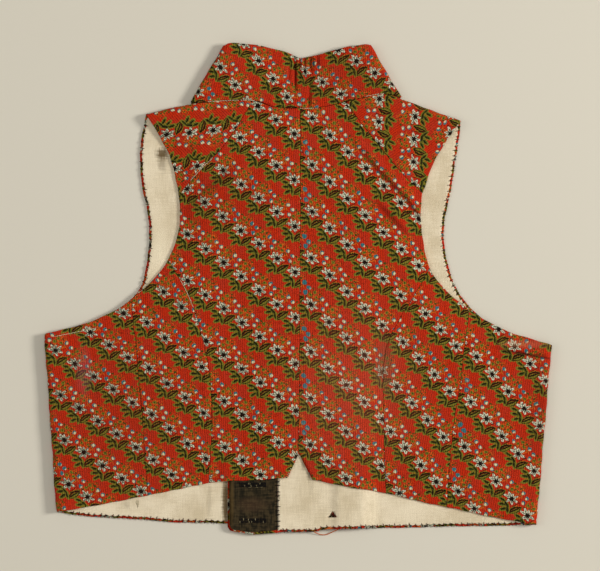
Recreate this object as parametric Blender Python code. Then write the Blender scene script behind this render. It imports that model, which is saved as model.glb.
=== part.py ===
"""A printed waistcoat laid flat on its fronts, back upwards.

The wearer's right is at +X and the collar at +Y. Every piece of cloth is a wall, cut flat
and then folded: the fronts lie on the surface and turn up over the sides and the shoulders
to meet the back, and the collar turns under at both sides of the neck. Lengths are in
millimetres until a mesh is made.
"""

import math

import bmesh
import bpy
from mathutils import Vector
from mathutils.geometry import delaunay_2d_cdt, intersect_point_line

MM = 0.001

# Thicknesses and heights
FRONT_WALL = 1.2
BACK_WALL = 1.6
COLLAR_WALL = 2.5
LINING_WALL = 1.0
SEAM = 0.3
FOLD_RADIUS = 3.8
COLLAR_RADIUS = 4.0
LAYERS = FRONT_WALL + SEAM + LINING_WALL
OVERLAP_LIFT = LAYERS + SEAM
TOP = 2.0 * FOLD_RADIUS

# The front edges, either side of the centre, and how far the overlap's slope runs
OVERLAP = 66.5
SLOPE = 11.5
FRONT_TOP_Y = 108.0
LIFT_END_Y = 118.0
LIFT_FADE = 22.0

# The linen lies this far inside the turned edge of the print
MARGIN = 2.5
FACING_EDGE = -64.8
FACING_END = -19.6

# Buttons of the outer front, flush with the surface under a low ridge of cloth
BUTTON_X = 50.0
BUTTON_Y = -215.0
BUTTON_STEP = 34.2
BUTTON_COUNT = 9
BUTTON_RADIUS = 9.0
BUTTON_THICK = 2.0
RIDGE_FLAT = 9.8
RIDGE_SLOPE = 10.0
RIDGE_END_Y = 70.0

# How the back rests: it comes down at its free edges and swells over the buttons
EDGE_FALL = 28.0
FOLD_HOLD = 34.0
SWELL = 2.0
COLLAR_SAG = 4.0

# Spacing of the points, on the top that shows and on the flat underside
FINE = 14.0
COARSE = 28.0
FOLD_STEPS = 6

# Outlines as seen from above. Columns: left x, left y, right x, right y
SIDE_FOLD = ((-241.0, -45.0, 241.8, -52.0), (-229.5, -213.4, 227.3, -225.4))
SHOULDER_FOLD = ((-144.0, 165.5, 155.3, 159.3), (-104.0, 175.0, 100.2, 179.3))
COLLAR_FOLD = ((-102.0, 177.2, 98.9, 181.6), (-70.5, 231.5, 69.5, 231.8))
BACK_ARMHOLE = (
    (-144.0, 165.5, 155.3, 159.3),
    (-133.8, 148.9, 143.3, 142.7),
    (-121.5, 125.0, 128.7, 117.5),
    (-112.9, 90.0, 118.7, 90.4),
    (-112.9, 57.6, 118.2, 53.4),
    (-123.1, 26.8, 125.8, 19.2),
    (-140.8, 4.7, 144.7, -5.0),
    (-158.2, -10.3, 162.9, -20.3),
)
SHOULDER_ROW = 3
PANEL_ROW = 5
UNDERARM = (
    (-158.2, -10.3, 162.9, -20.3),
    (-172.0, -20.0, 175.7, -28.7),
    (-202.5, -33.7, 204.7, -42.8),
    (-240.9, -43.6, 241.7, -54.0),
)
FRONT_ARMHOLE = (
    (-144.0, 165.5, 155.3, 159.3),
    (-149.9, 131.4, 151.8, 130.0),
    (-148.4, 100.9, 146.1, 95.2),
    (-142.2, 67.4, 139.6, 60.0),
    (-142.2, 32.5, 141.2, 30.0),
    (-150.6, -0.8, 153.1, -3.6),
    (-172.0, -20.0, 175.7, -28.7),
)
BACK_HEM = (
    (-229.5, -213.4, 227.3, -225.4),
    (-186.7, -204.6, 185.7, -216.2),
    (-143.0, -195.6, 141.5, -206.7),
    (-84.4, -185.0, 83.6, -193.8),
    (-40.4, -182.2, 40.6, -187.2),
    (-9.1, -179.8, 13.7, -181.6),
)
SIDE_ROW = 2
PANEL_HEM_ROW = 3
HEM_END_ROW = 5
SIDE_SEAM = (
    (-158.2, -10.3, 162.9, -20.3),
    (-151.6, -77.7, 155.3, -84.4),
    (-146.5, -140.0, 146.5, -145.0),
    (-143.0, -195.6, 141.5, -206.7),
)
SHOULDER_SEAM = (
    (-42.5, 178.4, 45.0, 177.2),
    (-68.9, 137.0, 72.6, 141.7),
    (-92.7, 112.3, 96.4, 112.3),
    (-112.9, 90.0, 118.7, 90.4),
)
NECK_SEAM = (
    (-104.0, 175.0, 100.2, 179.3),
    (-77.5, 177.8, 80.0, 184.8),
    (-42.5, 178.4, 45.0, 177.2),
    (-20.0, 172.3, 22.0, 171.6),
    (2.6, 171.0, 2.6, 171.0),
)
SEAM_ROW = 2
CENTRE_SEAM = ((2.6, 171.0), (2.2, 0.0), (0.9, -157.0))
PANEL_SEAM = (
    (-123.1, 26.8, 125.8, 19.2),
    (-106.4, -1.4, 111.6, -5.5),
    (-95.3, -29.7, 97.3, -28.3),
    (-87.0, -63.5, 82.6, -63.5),
    (-81.6, -110.0, 81.6, -115.0),
    (-84.4, -185.0, 83.6, -193.8),
)
COLLAR_TOP = (
    (-70.5, 231.5, 69.5, 231.8),
    (-63.0, 233.4, 62.0, 231.6),
    (-40.2, 231.3, 45.0, 228.8),
    (-13.5, 225.3, 19.7, 222.3),
    (3.5, 218.8, 3.5, 218.8),
)
FRONT_HEM = (
    (-229.5, -213.4, 227.3, -225.4),
    (-197.2, -216.4, 190.2, -224.4),
    (-140.2, -220.2, 117.3, -226.4),
    (-67.0, -223.1, 28.6, -227.6),
    (0.0, -225.6, -32.0, -233.3),
    (66.5, -226.5, -59.0, -232.0),
)
NECKLINE = (
    (-104.0, 175.0, 100.2, 179.3),
    (-74.0, 147.0, 73.0, 150.0),
    (-38.0, 124.0, 38.0, 126.0),
    (-3.0, 115.0, 3.0, 115.0),
)
COLLAR_END = ((-3.0, 171.0, 3.0, 171.0), (-3.0, 115.0, 3.0, 115.0))

# A rip in the right lining: a triangle, its corners in order
RIP = ((30.4, -217.4), (37.0, -217.4), (33.9, -212.4))

# The largest creases of the top. Columns: from x, from y, to x, to y, half width, height
CREASES = (
    (-226.0, -52.0, -186.0, -42.0, 7.0, 1.1),
    (197.0, -57.0, 236.0, -66.0, 7.0, -1.4),
    (-78.0, -160.0, -12.0, -146.0, 8.0, -1.0),
    (52.0, 138.0, 108.0, 62.0, 13.0, 1.0),
    (-104.0, 126.0, -70.0, 116.0, 10.0, -1.1),
    (150.0, -150.0, 206.0, -168.0, 13.0, -0.9),
    (-128.0, -70.0, -186.0, -96.0, 13.0, 0.9),
)
COLLAR_CREASES = (
    (-1.5, 216.0, -1.5, 188.0, 5.0, -1.2),
    (11.8, 192.0, 11.8, 174.0, 5.0, -1.0),
)

COLOURS = {
    "print": (0.46, 0.055, 0.03),
    "linen": (0.66, 0.58, 0.44),
    "facing": (0.035, 0.026, 0.018),
    "button": (0.55, 0.42, 0.2),
}


def smooth(t):
    """0 below 0, 1 above 1, and an even S between."""
    t = min(1.0, max(0.0, t))
    return t * t * (3.0 - 2.0 * t)


def side_of(table, side):
    """The left columns of an outline for side 0, the right ones for side 1."""
    return [Vector(row[2 * side : 2 * side + 2]) for row in table]


def curve(points, step=FINE):
    """Points about a step apart on a smooth curve through the given ones."""
    points = [Vector(p) for p in points]
    ends = [2 * points[0] - points[1], *points, 2 * points[-1] - points[-2]]
    line = [points[0]]
    for a, b, c, d in zip(ends, ends[1:], ends[2:], ends[3:]):
        count = max(1, round((c - b).length / step))
        for i in range(1, count + 1):
            t = i / count
            line.append(
                0.5 * (2 * b + (c - a) * t + (2 * a - 5 * b + 4 * c - d) * t**2)
                + 0.5 * (3 * b - a - 3 * c + d) * t**3
            )
    return line


def off_line(p, line):
    """How far a point is from a line of points."""
    best = math.inf
    for a, b in zip(line, line[1:]):
        foot, t = intersect_point_line(p, a, b)
        foot = a if t < 0 else b if t > 1 else foot.xy
        best = min(best, (p - foot).length)
    return best


def moved_in(line, by, towards):
    """A line moved sideways by a distance, to the side on which a point lies."""
    moved = []
    for i, p in enumerate(line):
        along = (line[min(i + 1, len(line) - 1)] - line[max(i - 1, 0)]).normalized()
        across = Vector((-along.y, along.x))
        sign = 1.0 if across.dot(towards - p) > 0 else -1.0
        moved.append(p + across * sign * by)
    return moved


class Fold:
    """A straight fold, named by the outline that it shows from above.

    Cloth past it turns in a half round and lies back over, or under, the rest.
    """

    def __init__(self, ends, radius, neck=None):
        self.start, end = Vector(ends[0]), Vector(ends[1])
        self.along = (end - self.start).normalized()
        self.out = Vector((-self.along.y, self.along.x))
        if self.out.dot(-self.start) > 0:
            self.out.negate()
        self.radius = radius
        self.neck = (end - self.start).length if neck else math.inf

    def past(self, p):
        """How far a point of the flat cut is past the start of the bend."""
        return (p - self.start).dot(self.out) + self.radius

    def cut(self, p, far):
        """Where a point seen from above lies in the flat cut, on the near or far layer."""
        inside = (self.start - p).dot(self.out)
        r = self.radius
        if inside >= r:
            s = math.pi * r + inside - r if far else r - inside
        else:
            turn = math.asin(min(1.0, 1.0 - inside / r))
            s = r * (math.pi - turn) if far else r * turn
        return p + self.out * (s - r + inside)

    def place(self, p, depth):
        """The point of the flat cut once folded: its place from above and its height."""
        s, r = self.past(p), self.radius
        turn = s / r
        if turn < math.pi:
            out, height = (r - depth) * math.sin(turn) - r, r - (r - depth) * math.cos(turn)
        else:
            out, height = math.pi * r - s - r, 2.0 * r - depth
        open_out = smooth(((p - self.start).dot(self.along) - self.neck) / 12.0)
        height += (2.0 * r - depth - height) * open_out
        return p + self.out * (out - s + r), height

    def rows(self, reach):
        """Straight rows of points along the bend, for even facets."""
        lines = []
        for i in range(FOLD_STEPS + 1):
            out = self.out * (math.pi * self.radius * i / FOLD_STEPS - self.radius)
            a = self.start + out - self.along * reach[0]
            b = self.start + out + self.along * reach[1]
            count = math.ceil((b - a).length / (2.0 * FINE))
            lines.append([a.lerp(b, k / count) for k in range(count + 1)])
        return lines


def overlap_lift(p):
    """The inner front's rise over the outer one, and its slope down beside it."""
    across = 1.0 - smooth((p.x - OVERLAP) / SLOPE)
    return OVERLAP_LIFT * across * (1.0 - smooth((p.y - LIFT_END_Y) / LIFT_FADE))


def ridge(p):
    """The fronts' rise over the column of buttons."""
    across = 1.0 - smooth((abs(p.x - BUTTON_X) - RIDGE_FLAT) / RIDGE_SLOPE)
    rise = BUTTON_THICK + SEAM
    return rise * across * (1.0 - smooth((p.y - RIDGE_END_Y) / RIDGE_SLOPE))


def crease(p, rows):
    """The height that the creases add at a point."""
    total = 0.0
    for x0, y0, x1, y1, half, height in rows:
        away = off_line(p, [Vector((x0, y0)), Vector((x1, y1))]) / half
        total += height * max(0.0, 1.0 - away * away) ** 2
    return total


def crease_rows(rows):
    """Lines of points along each crease and its two feet."""
    lines = []
    for x0, y0, x1, y1, half, _ in rows:
        a, b = Vector((x0, y0)), Vector((x1, y1))
        across = Vector((y0 - y1, x1 - x0)).normalized() * half
        count = math.ceil((b - a).length / FINE)
        for shift in (-1.0, -0.5, 0.0, 0.5, 1.0):
            lines.append([a.lerp(b, k / count) + across * shift for k in range(count + 1)])
    return lines


FREE_EDGES = [
    curve([*side_of(BACK_ARMHOLE, s), *side_of(UNDERARM, s)[1:]]) for s in (0, 1)
] + [curve(side_of(BACK_HEM, s)) for s in (0, 1)]
FREE_EDGES.append([FREE_EDGES[2][-1], Vector(CENTRE_SEAM[-1]), FREE_EDGES[3][-1]])
FOLD_LINES = [side_of(t, s) for t in (SIDE_FOLD, SHOULDER_FOLD) for s in (0, 1)]


def top_height(p):
    """The height of the outer face of the back, the sides and the shoulders."""
    hold = smooth((min(off_line(p, line) for line in FOLD_LINES) - FOLD_RADIUS) / FOLD_HOLD)
    if hold == 0.0:
        return TOP
    full = SWELL * smooth((p.x + 62.0) / 42.0) * (1.0 - smooth((p.x - 60.0) / 24.0))
    full *= 1.0 - smooth((p.y - 80.0) / 50.0)
    over = smooth((p.x + OVERLAP + SLOPE) / SLOPE) * overlap_lift(p)
    rest = LAYERS + over + ridge(p) + 0.4 + BACK_WALL - TOP
    away = smooth(min(off_line(p, line) for line in FREE_EDGES) / EDGE_FALL)
    free = rest + (full + crease(p, CREASES) - rest) * away
    return TOP + hold * max(rest, free)


def triangulate(loops, rows, spacing):
    """Triangles inside the first loop and outside the others, with the rows kept as edges."""
    points, edges = [], []
    for loop in loops:
        first = len(points)
        points += loop
        edges += [(first + i, first + (i + 1) % len(loop)) for i in range(len(loop))]
    closed = [[*loop, loop[0]] for loop in loops]

    def inside(p):
        crossings = 0
        for line in closed:
            for a, b in zip(line, line[1:]):
                if (a.y > p.y) != (b.y > p.y):
                    crossings += p.x < a.x + (p.y - a.y) * (b.x - a.x) / (b.y - a.y)
        return crossings % 2 == 1

    for row in rows:
        first = len(points)
        points += row
        edges += [(first + i, first + i + 1) for i in range(len(row) - 1)]
    low = Vector((min(p.x for p in loops[0]), min(p.y for p in loops[0])))
    high = Vector((max(p.x for p in loops[0]), max(p.y for p in loops[0])))
    step = spacing(None)
    rise = step * math.sqrt(0.75)
    for j in range(int((high.y - low.y) / rise) + 1):
        for i in range(int((high.x - low.x) / step) + 1):
            p = low + Vector(((i + 0.5 * (j % 2)) * step, j * rise))
            keep = spacing(p) == step or (i % 2 == 0 and j % 2 == 0)
            if keep and inside(p) and min(off_line(p, k) for k in [*closed, *rows]) > 0.42 * step:
                points.append(p)
    found = delaunay_2d_cdt(points, edges, [], 0, 1e-5)
    places = found[0]
    kept = [t for t in found[2] if inside(sum((places[i] for i in t), Vector((0, 0))) / 3.0)]
    used = sorted({i for t in kept for i in t})
    index = {old: new for new, old in enumerate(used)}
    return [places[i] for i in used], [tuple(index[i] for i in t) for t in kept]


def material(name, colour, roughness, metallic=0.0):
    made = bpy.data.materials.new(name)
    made.use_nodes = True
    shader = made.node_tree.nodes["Principled BSDF"]
    shader.inputs["Base Color"].default_value = (*COLOURS[colour], 1.0)
    shader.inputs["Roughness"].default_value = roughness
    shader.inputs["Metallic"].default_value = metallic
    return made


def wall(name, colour, cut, thickness, place):
    """One closed wall of cloth: two skins from the flat cut, and the rim that joins them."""
    points, triangles = cut
    count = len(points)
    skins = [place(p, depth) for depth in (0.0, thickness) for p in points]
    edges = {}
    for t in triangles:
        for a, b in zip(t, (*t[1:], t[0])):
            edges[(a, b)] = edges.get((b, a), 0) + 1
    rim = [(a, b) for (a, b) in edges if (b, a) not in edges]
    faces = [tuple(reversed(t)) for t in triangles]
    faces += [tuple(i + count for i in t) for t in triangles]
    faces += [(a, b, b + count, a + count) for a, b in rim]
    mesh = bpy.data.meshes.new(name)
    mesh.from_pydata([Vector(p) * MM for p in skins], [], faces)
    shape = bmesh.new()
    shape.from_mesh(mesh)
    bmesh.ops.recalc_face_normals(shape, faces=shape.faces)
    shape.to_mesh(mesh)
    shape.free()
    piece = bpy.data.objects.new(name, mesh)
    piece.data.materials.append(material(name, colour, 0.9))
    bpy.context.scene.collection.objects.link(piece)
    return piece


def lift_rows(side):
    """Straight rows on the fronts where they slope, for the ridge and for the overlap."""
    feet = [BUTTON_X + k * (RIDGE_FLAT + RIDGE_SLOPE * t) for k in (-1, 1) for t in (0, 0.5, 1)]
    rows = [[Vector((x, -240.0)), Vector((x, RIDGE_END_Y + RIDGE_SLOPE))] for x in feet]
    for t in (0.0, 0.5, 1.0):
        y = RIDGE_END_Y + RIDGE_SLOPE * t
        rows.append([Vector((feet[2], y)), Vector((feet[5], y))])
    if side == 1:
        for t in (0.0, 0.33, 0.67, 1.0):
            x, y = OVERLAP + SLOPE * t, LIFT_END_Y + LIFT_FADE * t
            rows.append([Vector((x, -240.0)), Vector((x, LIFT_END_Y + LIFT_FADE))])
            rows.append([Vector((-OVERLAP, y)), Vector((OVERLAP + SLOPE, y))])
    return rows


def front_lift(p, side):
    return ridge(p) + (overlap_lift(p) if side == 1 else 0.0)


def front_outline(side, fold_side, fold_shoulder):
    """The flat cut of a front: under the back, round the shoulder and round the side."""
    edge = OVERLAP if side == 0 else -OVERLAP
    seam_in = 0.5 * SEAM
    middle = Vector((0.0, -100.0))
    hem = curve(side_of(FRONT_HEM, side), 2.0 * FINE)
    if side == 1:
        hem.append(Vector((edge + 2.2, -230.3)))
    hem.append(Vector((edge, hem[-1].y + (3.5 if side else 0.0))))
    neck = curve(side_of(NECKLINE, side))[1:]
    under = [*hem, Vector((edge, FRONT_TOP_Y)), *reversed(moved_in(neck, seam_in, middle))]
    under = [fold_shoulder.cut(fold_side.cut(p, False), False) for p in under]

    seam_top = curve(side_of(NECK_SEAM, side)[: SEAM_ROW + 1])
    joined = curve(side_of(SHOULDER_SEAM, side))
    armhole = curve(side_of(BACK_ARMHOLE, side)[: SHOULDER_ROW + 1])
    outer = Vector((1.6 * seam_top[0].x, joined[-1].y))
    shoulder = moved_in(seam_top, seam_in, middle)[:-1]
    shoulder += moved_in(joined, seam_in, outer)[1:]
    shoulder += list(reversed(armhole))[1:]
    shoulder = [fold_shoulder.cut(p, True) for p in shoulder]

    arm = curve([*side_of(FRONT_ARMHOLE, side), *side_of(UNDERARM, side)[2:]])[1:]
    arm = [fold_side.cut(fold_shoulder.cut(p, False), False) for p in arm]

    top = list(reversed(curve(side_of(UNDERARM, side))))[1:-1]
    seam = curve(side_of(SIDE_SEAM, side))
    top += moved_in(seam, seam_in, Vector((4.0 * seam[0].x, 0.0)))
    top += list(reversed(curve(side_of(BACK_HEM, side)[: SIDE_ROW + 1])))[1:-1]
    top = [fold_side.cut(p, True) for p in top]
    return under + shoulder + arm + top


def front(side, name):
    fold_side = Fold(side_of(SIDE_FOLD, side), FOLD_RADIUS)
    fold_shoulder = Fold(side_of(SHOULDER_FOLD, side), FOLD_RADIUS, neck=True)
    folds = (fold_side, fold_shoulder)

    def place(p, depth):
        for fold in folds:
            if fold.past(p) > 0.0:
                at, height = fold.place(p, depth)
                if fold.past(p) > 0.5 * math.pi * FOLD_RADIUS:
                    height += top_height(at) - TOP
                return at.x, at.y, height
        return p.x, p.y, depth + front_lift(p, side)

    def spacing(p):
        far = p is None or any(f.past(p) > 3.0 * FOLD_RADIUS for f in folds)
        return FINE if far else COARSE

    outline = front_outline(side, *folds)
    rows = fold_side.rows((20.0, 190.0)) + fold_shoulder.rows((20.0, 60.0)) + lift_rows(side)
    cut = triangulate([outline], rows, spacing)
    return wall(name, "print", cut, FRONT_WALL, place)


def lining(side, name):
    """Linen on the inner face of a front, a margin inside its edges and short of its folds."""
    middle = Vector((0.0, -100.0))
    arm = curve([*side_of(FRONT_ARMHOLE, side), *side_of(UNDERARM, side)[2:]])
    arm = moved_in(arm, MARGIN, middle)[1:-1]
    hem = curve(side_of(FRONT_HEM, side)[: 4 if side else 6], 2.0 * FINE)
    hem = moved_in(hem, MARGIN, middle)[1:]
    neck = moved_in(curve(side_of(NECKLINE, side)), MARGIN, middle)[1:]
    if side == 0:
        hem[-1].x = OVERLAP - MARGIN
        end = Vector((OVERLAP - MARGIN, FRONT_TOP_Y - MARGIN))
        outline = [*hem, end, *reversed(neck)]
    else:
        start = FACING_END + SEAM
        hem.append(Vector((start, -230.0 + MARGIN)))
        outline = [*hem, Vector((start, FRONT_TOP_Y - MARGIN)), *reversed(neck)]
    keep = [Fold(side_of(t, side), FOLD_RADIUS) for t in (SIDE_FOLD, SHOULDER_FOLD)]
    outline += arm
    held = []
    for p in outline:
        for fold in keep:
            p = p - fold.out * max(0.0, fold.past(p))
        held.append(p)
    loops = [held] if side == 0 else [held, [Vector(p) for p in RIP]]
    cut = triangulate(loops, lift_rows(side), lambda p: COARSE)
    base = FRONT_WALL + SEAM

    def place(p, depth):
        return p.x, p.y, base + depth + front_lift(p, side)

    return wall(name, "linen", cut, LINING_WALL, place)


def facing(name):
    """The dark strip along the inner front's edge."""
    corner = 3.0
    outline = [
        Vector((FACING_EDGE, FRONT_TOP_Y - MARGIN)),
        Vector((FACING_EDGE, -227.4 + corner)),
        Vector((FACING_EDGE + corner, -229.0)),
        Vector((-44.0, -230.6)),
        Vector((-32.0, -230.4)),
        Vector((FACING_END, -228.6)),
        Vector((FACING_END, FRONT_TOP_Y - MARGIN)),
    ]
    cut = triangulate([outline], [], lambda p: COARSE)
    base = FRONT_WALL + SEAM + OVERLAP_LIFT
    return wall(name, "facing", cut, LINING_WALL, lambda p, depth: (p.x, p.y, base + depth))


def span(table, side, first, last):
    """The points of an outline between two of its rows, without those two."""
    line = curve(side_of(table, side))
    rows = side_of(table, side)
    ends = (rows[first], rows[last])
    a, b = (min(range(len(line)), key=lambda i: (line[i] - end).length) for end in ends)
    return line[a + 1 : b]


def back_wall(side, name, outline):
    rows = crease_rows(CREASES) + (lift_rows(side) if side else [])
    cut = triangulate([outline], rows, lambda p: FINE)

    def place(p, depth):
        return p.x, p.y, top_height(p) - depth

    return wall(name, "print", cut, BACK_WALL, place)


def back(side, name):
    """The panel of the back from the centre seam to the shoulder and armhole."""
    sign = 2 * side - 1
    outer = Vector((sign * 400.0, 0.0))
    middle = Vector((0.0, -100.0))
    half = 0.5 * SEAM
    centre = moved_in(curve(CENTRE_SEAM), half, outer)
    neck = moved_in(list(reversed(curve(side_of(NECK_SEAM, side)[SEAM_ROW:]))), half, middle)
    neck[0].x = centre[0].x
    shoulder = moved_in(curve(side_of(SHOULDER_SEAM, side)), half, Vector((0.0, 40.0)))
    arm = span(BACK_ARMHOLE, side, SHOULDER_ROW, PANEL_ROW)
    seam = moved_in(curve(side_of(PANEL_SEAM, side)), half, middle)
    hem = span(BACK_HEM, side, PANEL_HEM_ROW, HEM_END_ROW)
    hem.append(side_of(BACK_HEM, side)[HEM_END_ROW])
    return back_wall(side, name, neck[:-1] + shoulder + arm + seam + hem + centre[:0:-1])


def side_back(side, name):
    """The curved panel of the back below the armhole, out to the side seam."""
    sign = 2 * side - 1
    half = 0.5 * SEAM
    arm = span(BACK_ARMHOLE, side, PANEL_ROW, len(BACK_ARMHOLE) - 1)
    seam = moved_in(curve(side_of(SIDE_SEAM, side)), half, Vector((0.0, -100.0)))
    hem = list(reversed(span(BACK_HEM, side, SIDE_ROW, PANEL_HEM_ROW)))
    inner = moved_in(curve(side_of(PANEL_SEAM, side)), half, Vector((sign * 400.0, 0.0)))
    return back_wall(side, name, inner + hem + list(reversed(arm + seam)))


def collar(name):
    """The stand collar: its back shows, and both ends turn under to the centre front."""
    folds = [Fold(side_of(COLLAR_FOLD, s), COLLAR_RADIUS) for s in (0, 1)]
    middle = Vector((0.0, 600.0))
    halves = []
    for side, fold in enumerate(folds):
        seam = moved_in(curve(side_of(NECK_SEAM, side)), 0.5 * SEAM, middle)
        seam = [p for p in seam if fold.past(p) < -0.5]
        neck = moved_in(curve(side_of(NECKLINE, side)), 0.5 * SEAM, middle)
        neck = [fold.cut(p, True) for p in neck if fold.past(p) < -0.5]
        ends = side_of(COLLAR_FOLD, side)
        end = [fold.cut(p, True) for p in side_of(COLLAR_END, side)]
        top = curve(side_of(COLLAR_TOP, side))
        low, high = (fold.cut(p, False) for p in (ends[0], top[0]))
        half = [*reversed(seam), low, *neck[:-1], end[1], end[0], high, *top[1:]]
        halves.append(half)
    outline = halves[0] + list(reversed(halves[1]))[1:-1]

    def place(p, depth):
        for side, fold in enumerate(folds):
            if fold.past(p) > 0.0:
                at, height = fold.place(p, depth)
                height = 2.0 * COLLAR_RADIUS - height
                if side == 1 and fold.past(p) > 2.0 * COLLAR_RADIUS:
                    height += overlap_lift(at)
                return at.x, at.y, height
        middle_share = max(0.0, 1.0 - ((p.x - 3.0) / 60.0) ** 2)
        sag = COLLAR_SAG * middle_share * smooth((p.y - 182.0) / 40.0)
        height = 2.0 * COLLAR_RADIUS - sag + crease(p, COLLAR_CREASES)
        return p.x, p.y, height - depth

    rows = [row for fold in folds for row in fold.rows((6.0, 90.0))]
    cut = triangulate([outline], rows + crease_rows(COLLAR_CREASES), lambda p: FINE)
    return wall(name, "print", cut, COLLAR_WALL, place)


def button(number):
    """A flat metal button, lying on its face."""
    at = Vector((BUTTON_X, BUTTON_Y + BUTTON_STEP * (number - 1), 0.5 * BUTTON_THICK)) * MM
    shape = bmesh.new()
    bmesh.ops.create_cone(
        shape,
        cap_ends=True,
        segments=16,
        radius1=BUTTON_RADIUS * MM,
        radius2=BUTTON_RADIUS * MM,
        depth=BUTTON_THICK * MM,
    )
    mesh = bpy.data.meshes.new(f"button_{number}")
    shape.to_mesh(mesh)
    shape.free()
    piece = bpy.data.objects.new(mesh.name, mesh)
    piece.location = at
    piece.data.materials.append(material(mesh.name, "button", 0.35, 1.0))
    bpy.context.scene.collection.objects.link(piece)
    return piece


def main():
    for old in list(bpy.data.objects):
        bpy.data.objects.remove(old)
    back(0, "back_left")
    back(1, "back_right")
    side_back(0, "side_back_left")
    side_back(1, "side_back_right")
    front(0, "front_left")
    front(1, "front_right")
    collar("collar")
    lining(0, "lining_front_left")
    lining(1, "lining_front_right")
    facing("facing_right")
    for number in range(1, BUTTON_COUNT + 1):
        button(number)


main()
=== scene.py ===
# %% [markdown]
# # A printed waistcoat, laid flat
#
# A man's waistcoat lies on its fronts with its back upwards, seen from straight above. This lesson
# builds it in cells: the shapes of the cloth first, then the printed sprigs, then the sewing.

import bmesh
import bpy
import numpy as np
from mathutils import Matrix, Vector
from mathutils.geometry import delaunay_2d_cdt


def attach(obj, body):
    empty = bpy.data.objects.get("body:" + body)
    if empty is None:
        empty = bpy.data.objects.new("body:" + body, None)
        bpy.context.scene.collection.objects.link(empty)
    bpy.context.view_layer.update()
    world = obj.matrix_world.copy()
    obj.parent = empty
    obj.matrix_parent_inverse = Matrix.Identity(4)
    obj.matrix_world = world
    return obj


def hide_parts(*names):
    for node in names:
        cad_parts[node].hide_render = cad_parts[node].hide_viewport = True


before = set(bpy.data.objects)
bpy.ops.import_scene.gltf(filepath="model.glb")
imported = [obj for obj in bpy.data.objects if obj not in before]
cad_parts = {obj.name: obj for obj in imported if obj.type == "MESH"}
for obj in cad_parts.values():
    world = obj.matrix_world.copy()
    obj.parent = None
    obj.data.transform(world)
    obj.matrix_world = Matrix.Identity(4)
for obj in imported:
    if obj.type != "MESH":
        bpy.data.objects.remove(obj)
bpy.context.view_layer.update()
print("nodes", sorted(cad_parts))
MM = 0.001

# %% [markdown]
# ## The cut
#
# Each piece of cloth is known by its outline as seen from above. The same few lines serve as the
# edge of one piece and the seam of the next, so neighbours fit without measuring twice.

# %% Outlines in millimetres. Columns: left x, left y, right x, right y
SIDE_FOLD = ((-241.0, -45.0, 241.8, -52.0), (-229.5, -213.4, 227.3, -225.4))
SHOULDER_FOLD = ((-144.0, 165.5, 155.3, 159.3), (-104.0, 175.0, 100.2, 179.3))
COLLAR_FOLD = ((-102.0, 177.2, 98.9, 181.6), (-70.5, 231.5, 69.5, 231.8))
BACK_ARMHOLE = (
    (-144.0, 165.5, 155.3, 159.3),
    (-133.8, 148.9, 143.3, 142.7),
    (-121.5, 125.0, 128.7, 117.5),
    (-112.9, 90.0, 118.7, 90.4),
    (-112.9, 57.6, 118.2, 53.4),
    (-123.1, 26.8, 125.8, 19.2),
    (-140.8, 4.7, 144.7, -5.0),
    (-158.2, -10.3, 162.9, -20.3),
)
UNDERARM = (
    (-158.2, -10.3, 162.9, -20.3),
    (-172.0, -20.0, 175.7, -28.7),
    (-202.5, -33.7, 204.7, -42.8),
    (-240.9, -43.6, 241.7, -54.0),
)
FRONT_ARMHOLE = (
    (-144.0, 165.5, 155.3, 159.3),
    (-149.9, 131.4, 151.8, 130.0),
    (-148.4, 100.9, 146.1, 95.2),
    (-142.2, 67.4, 139.6, 60.0),
    (-142.2, 32.5, 141.2, 30.0),
    (-150.6, -0.8, 153.1, -3.6),
    (-172.0, -20.0, 175.7, -28.7),
)
BACK_HEM = (
    (-229.5, -213.4, 227.3, -225.4),
    (-186.7, -205.5, 185.7, -217.5),
    (-143.0, -197.4, 141.5, -208.3),
    (-84.4, -185.3, 83.6, -195.2),
    (-40.4, -182.4, 40.6, -187.2),
    (-9.1, -179.8, 13.7, -182.2),
)

# %% Seams. The same columns
SIDE_SEAM = (
    (-158.2, -10.3, 162.9, -20.3),
    (-151.6, -77.7, 155.3, -84.4),
    (-146.5, -140.0, 146.5, -145.0),
    (-143.0, -197.4, 141.5, -208.3),
)
PANEL_SEAM = (
    (-123.1, 26.8, 125.8, 19.2),
    (-106.4, -1.4, 111.6, -5.5),
    (-95.3, -29.7, 97.3, -28.3),
    (-87.0, -63.5, 82.6, -63.5),
    (-81.6, -110.0, 81.6, -115.0),
    (-84.4, -185.3, 83.6, -195.2),
)
SHOULDER_SEAM = (
    (-42.5, 178.4, 45.0, 177.2),
    (-68.9, 137.0, 72.6, 141.7),
    (-92.7, 112.3, 96.4, 112.3),
    (-112.9, 90.0, 118.7, 90.4),
)
NECK_SEAM = (
    (-104.0, 175.0, 100.2, 179.3),
    (-77.5, 177.8, 80.0, 184.8),
    (-42.5, 178.4, 45.0, 177.2),
    (-20.0, 172.3, 22.0, 171.6),
    (2.6, 171.0, 2.6, 171.0),
)
CENTRE_SEAM = ((2.6, 171.0), (2.2, 0.0), (0.9, -157.0))

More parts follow.
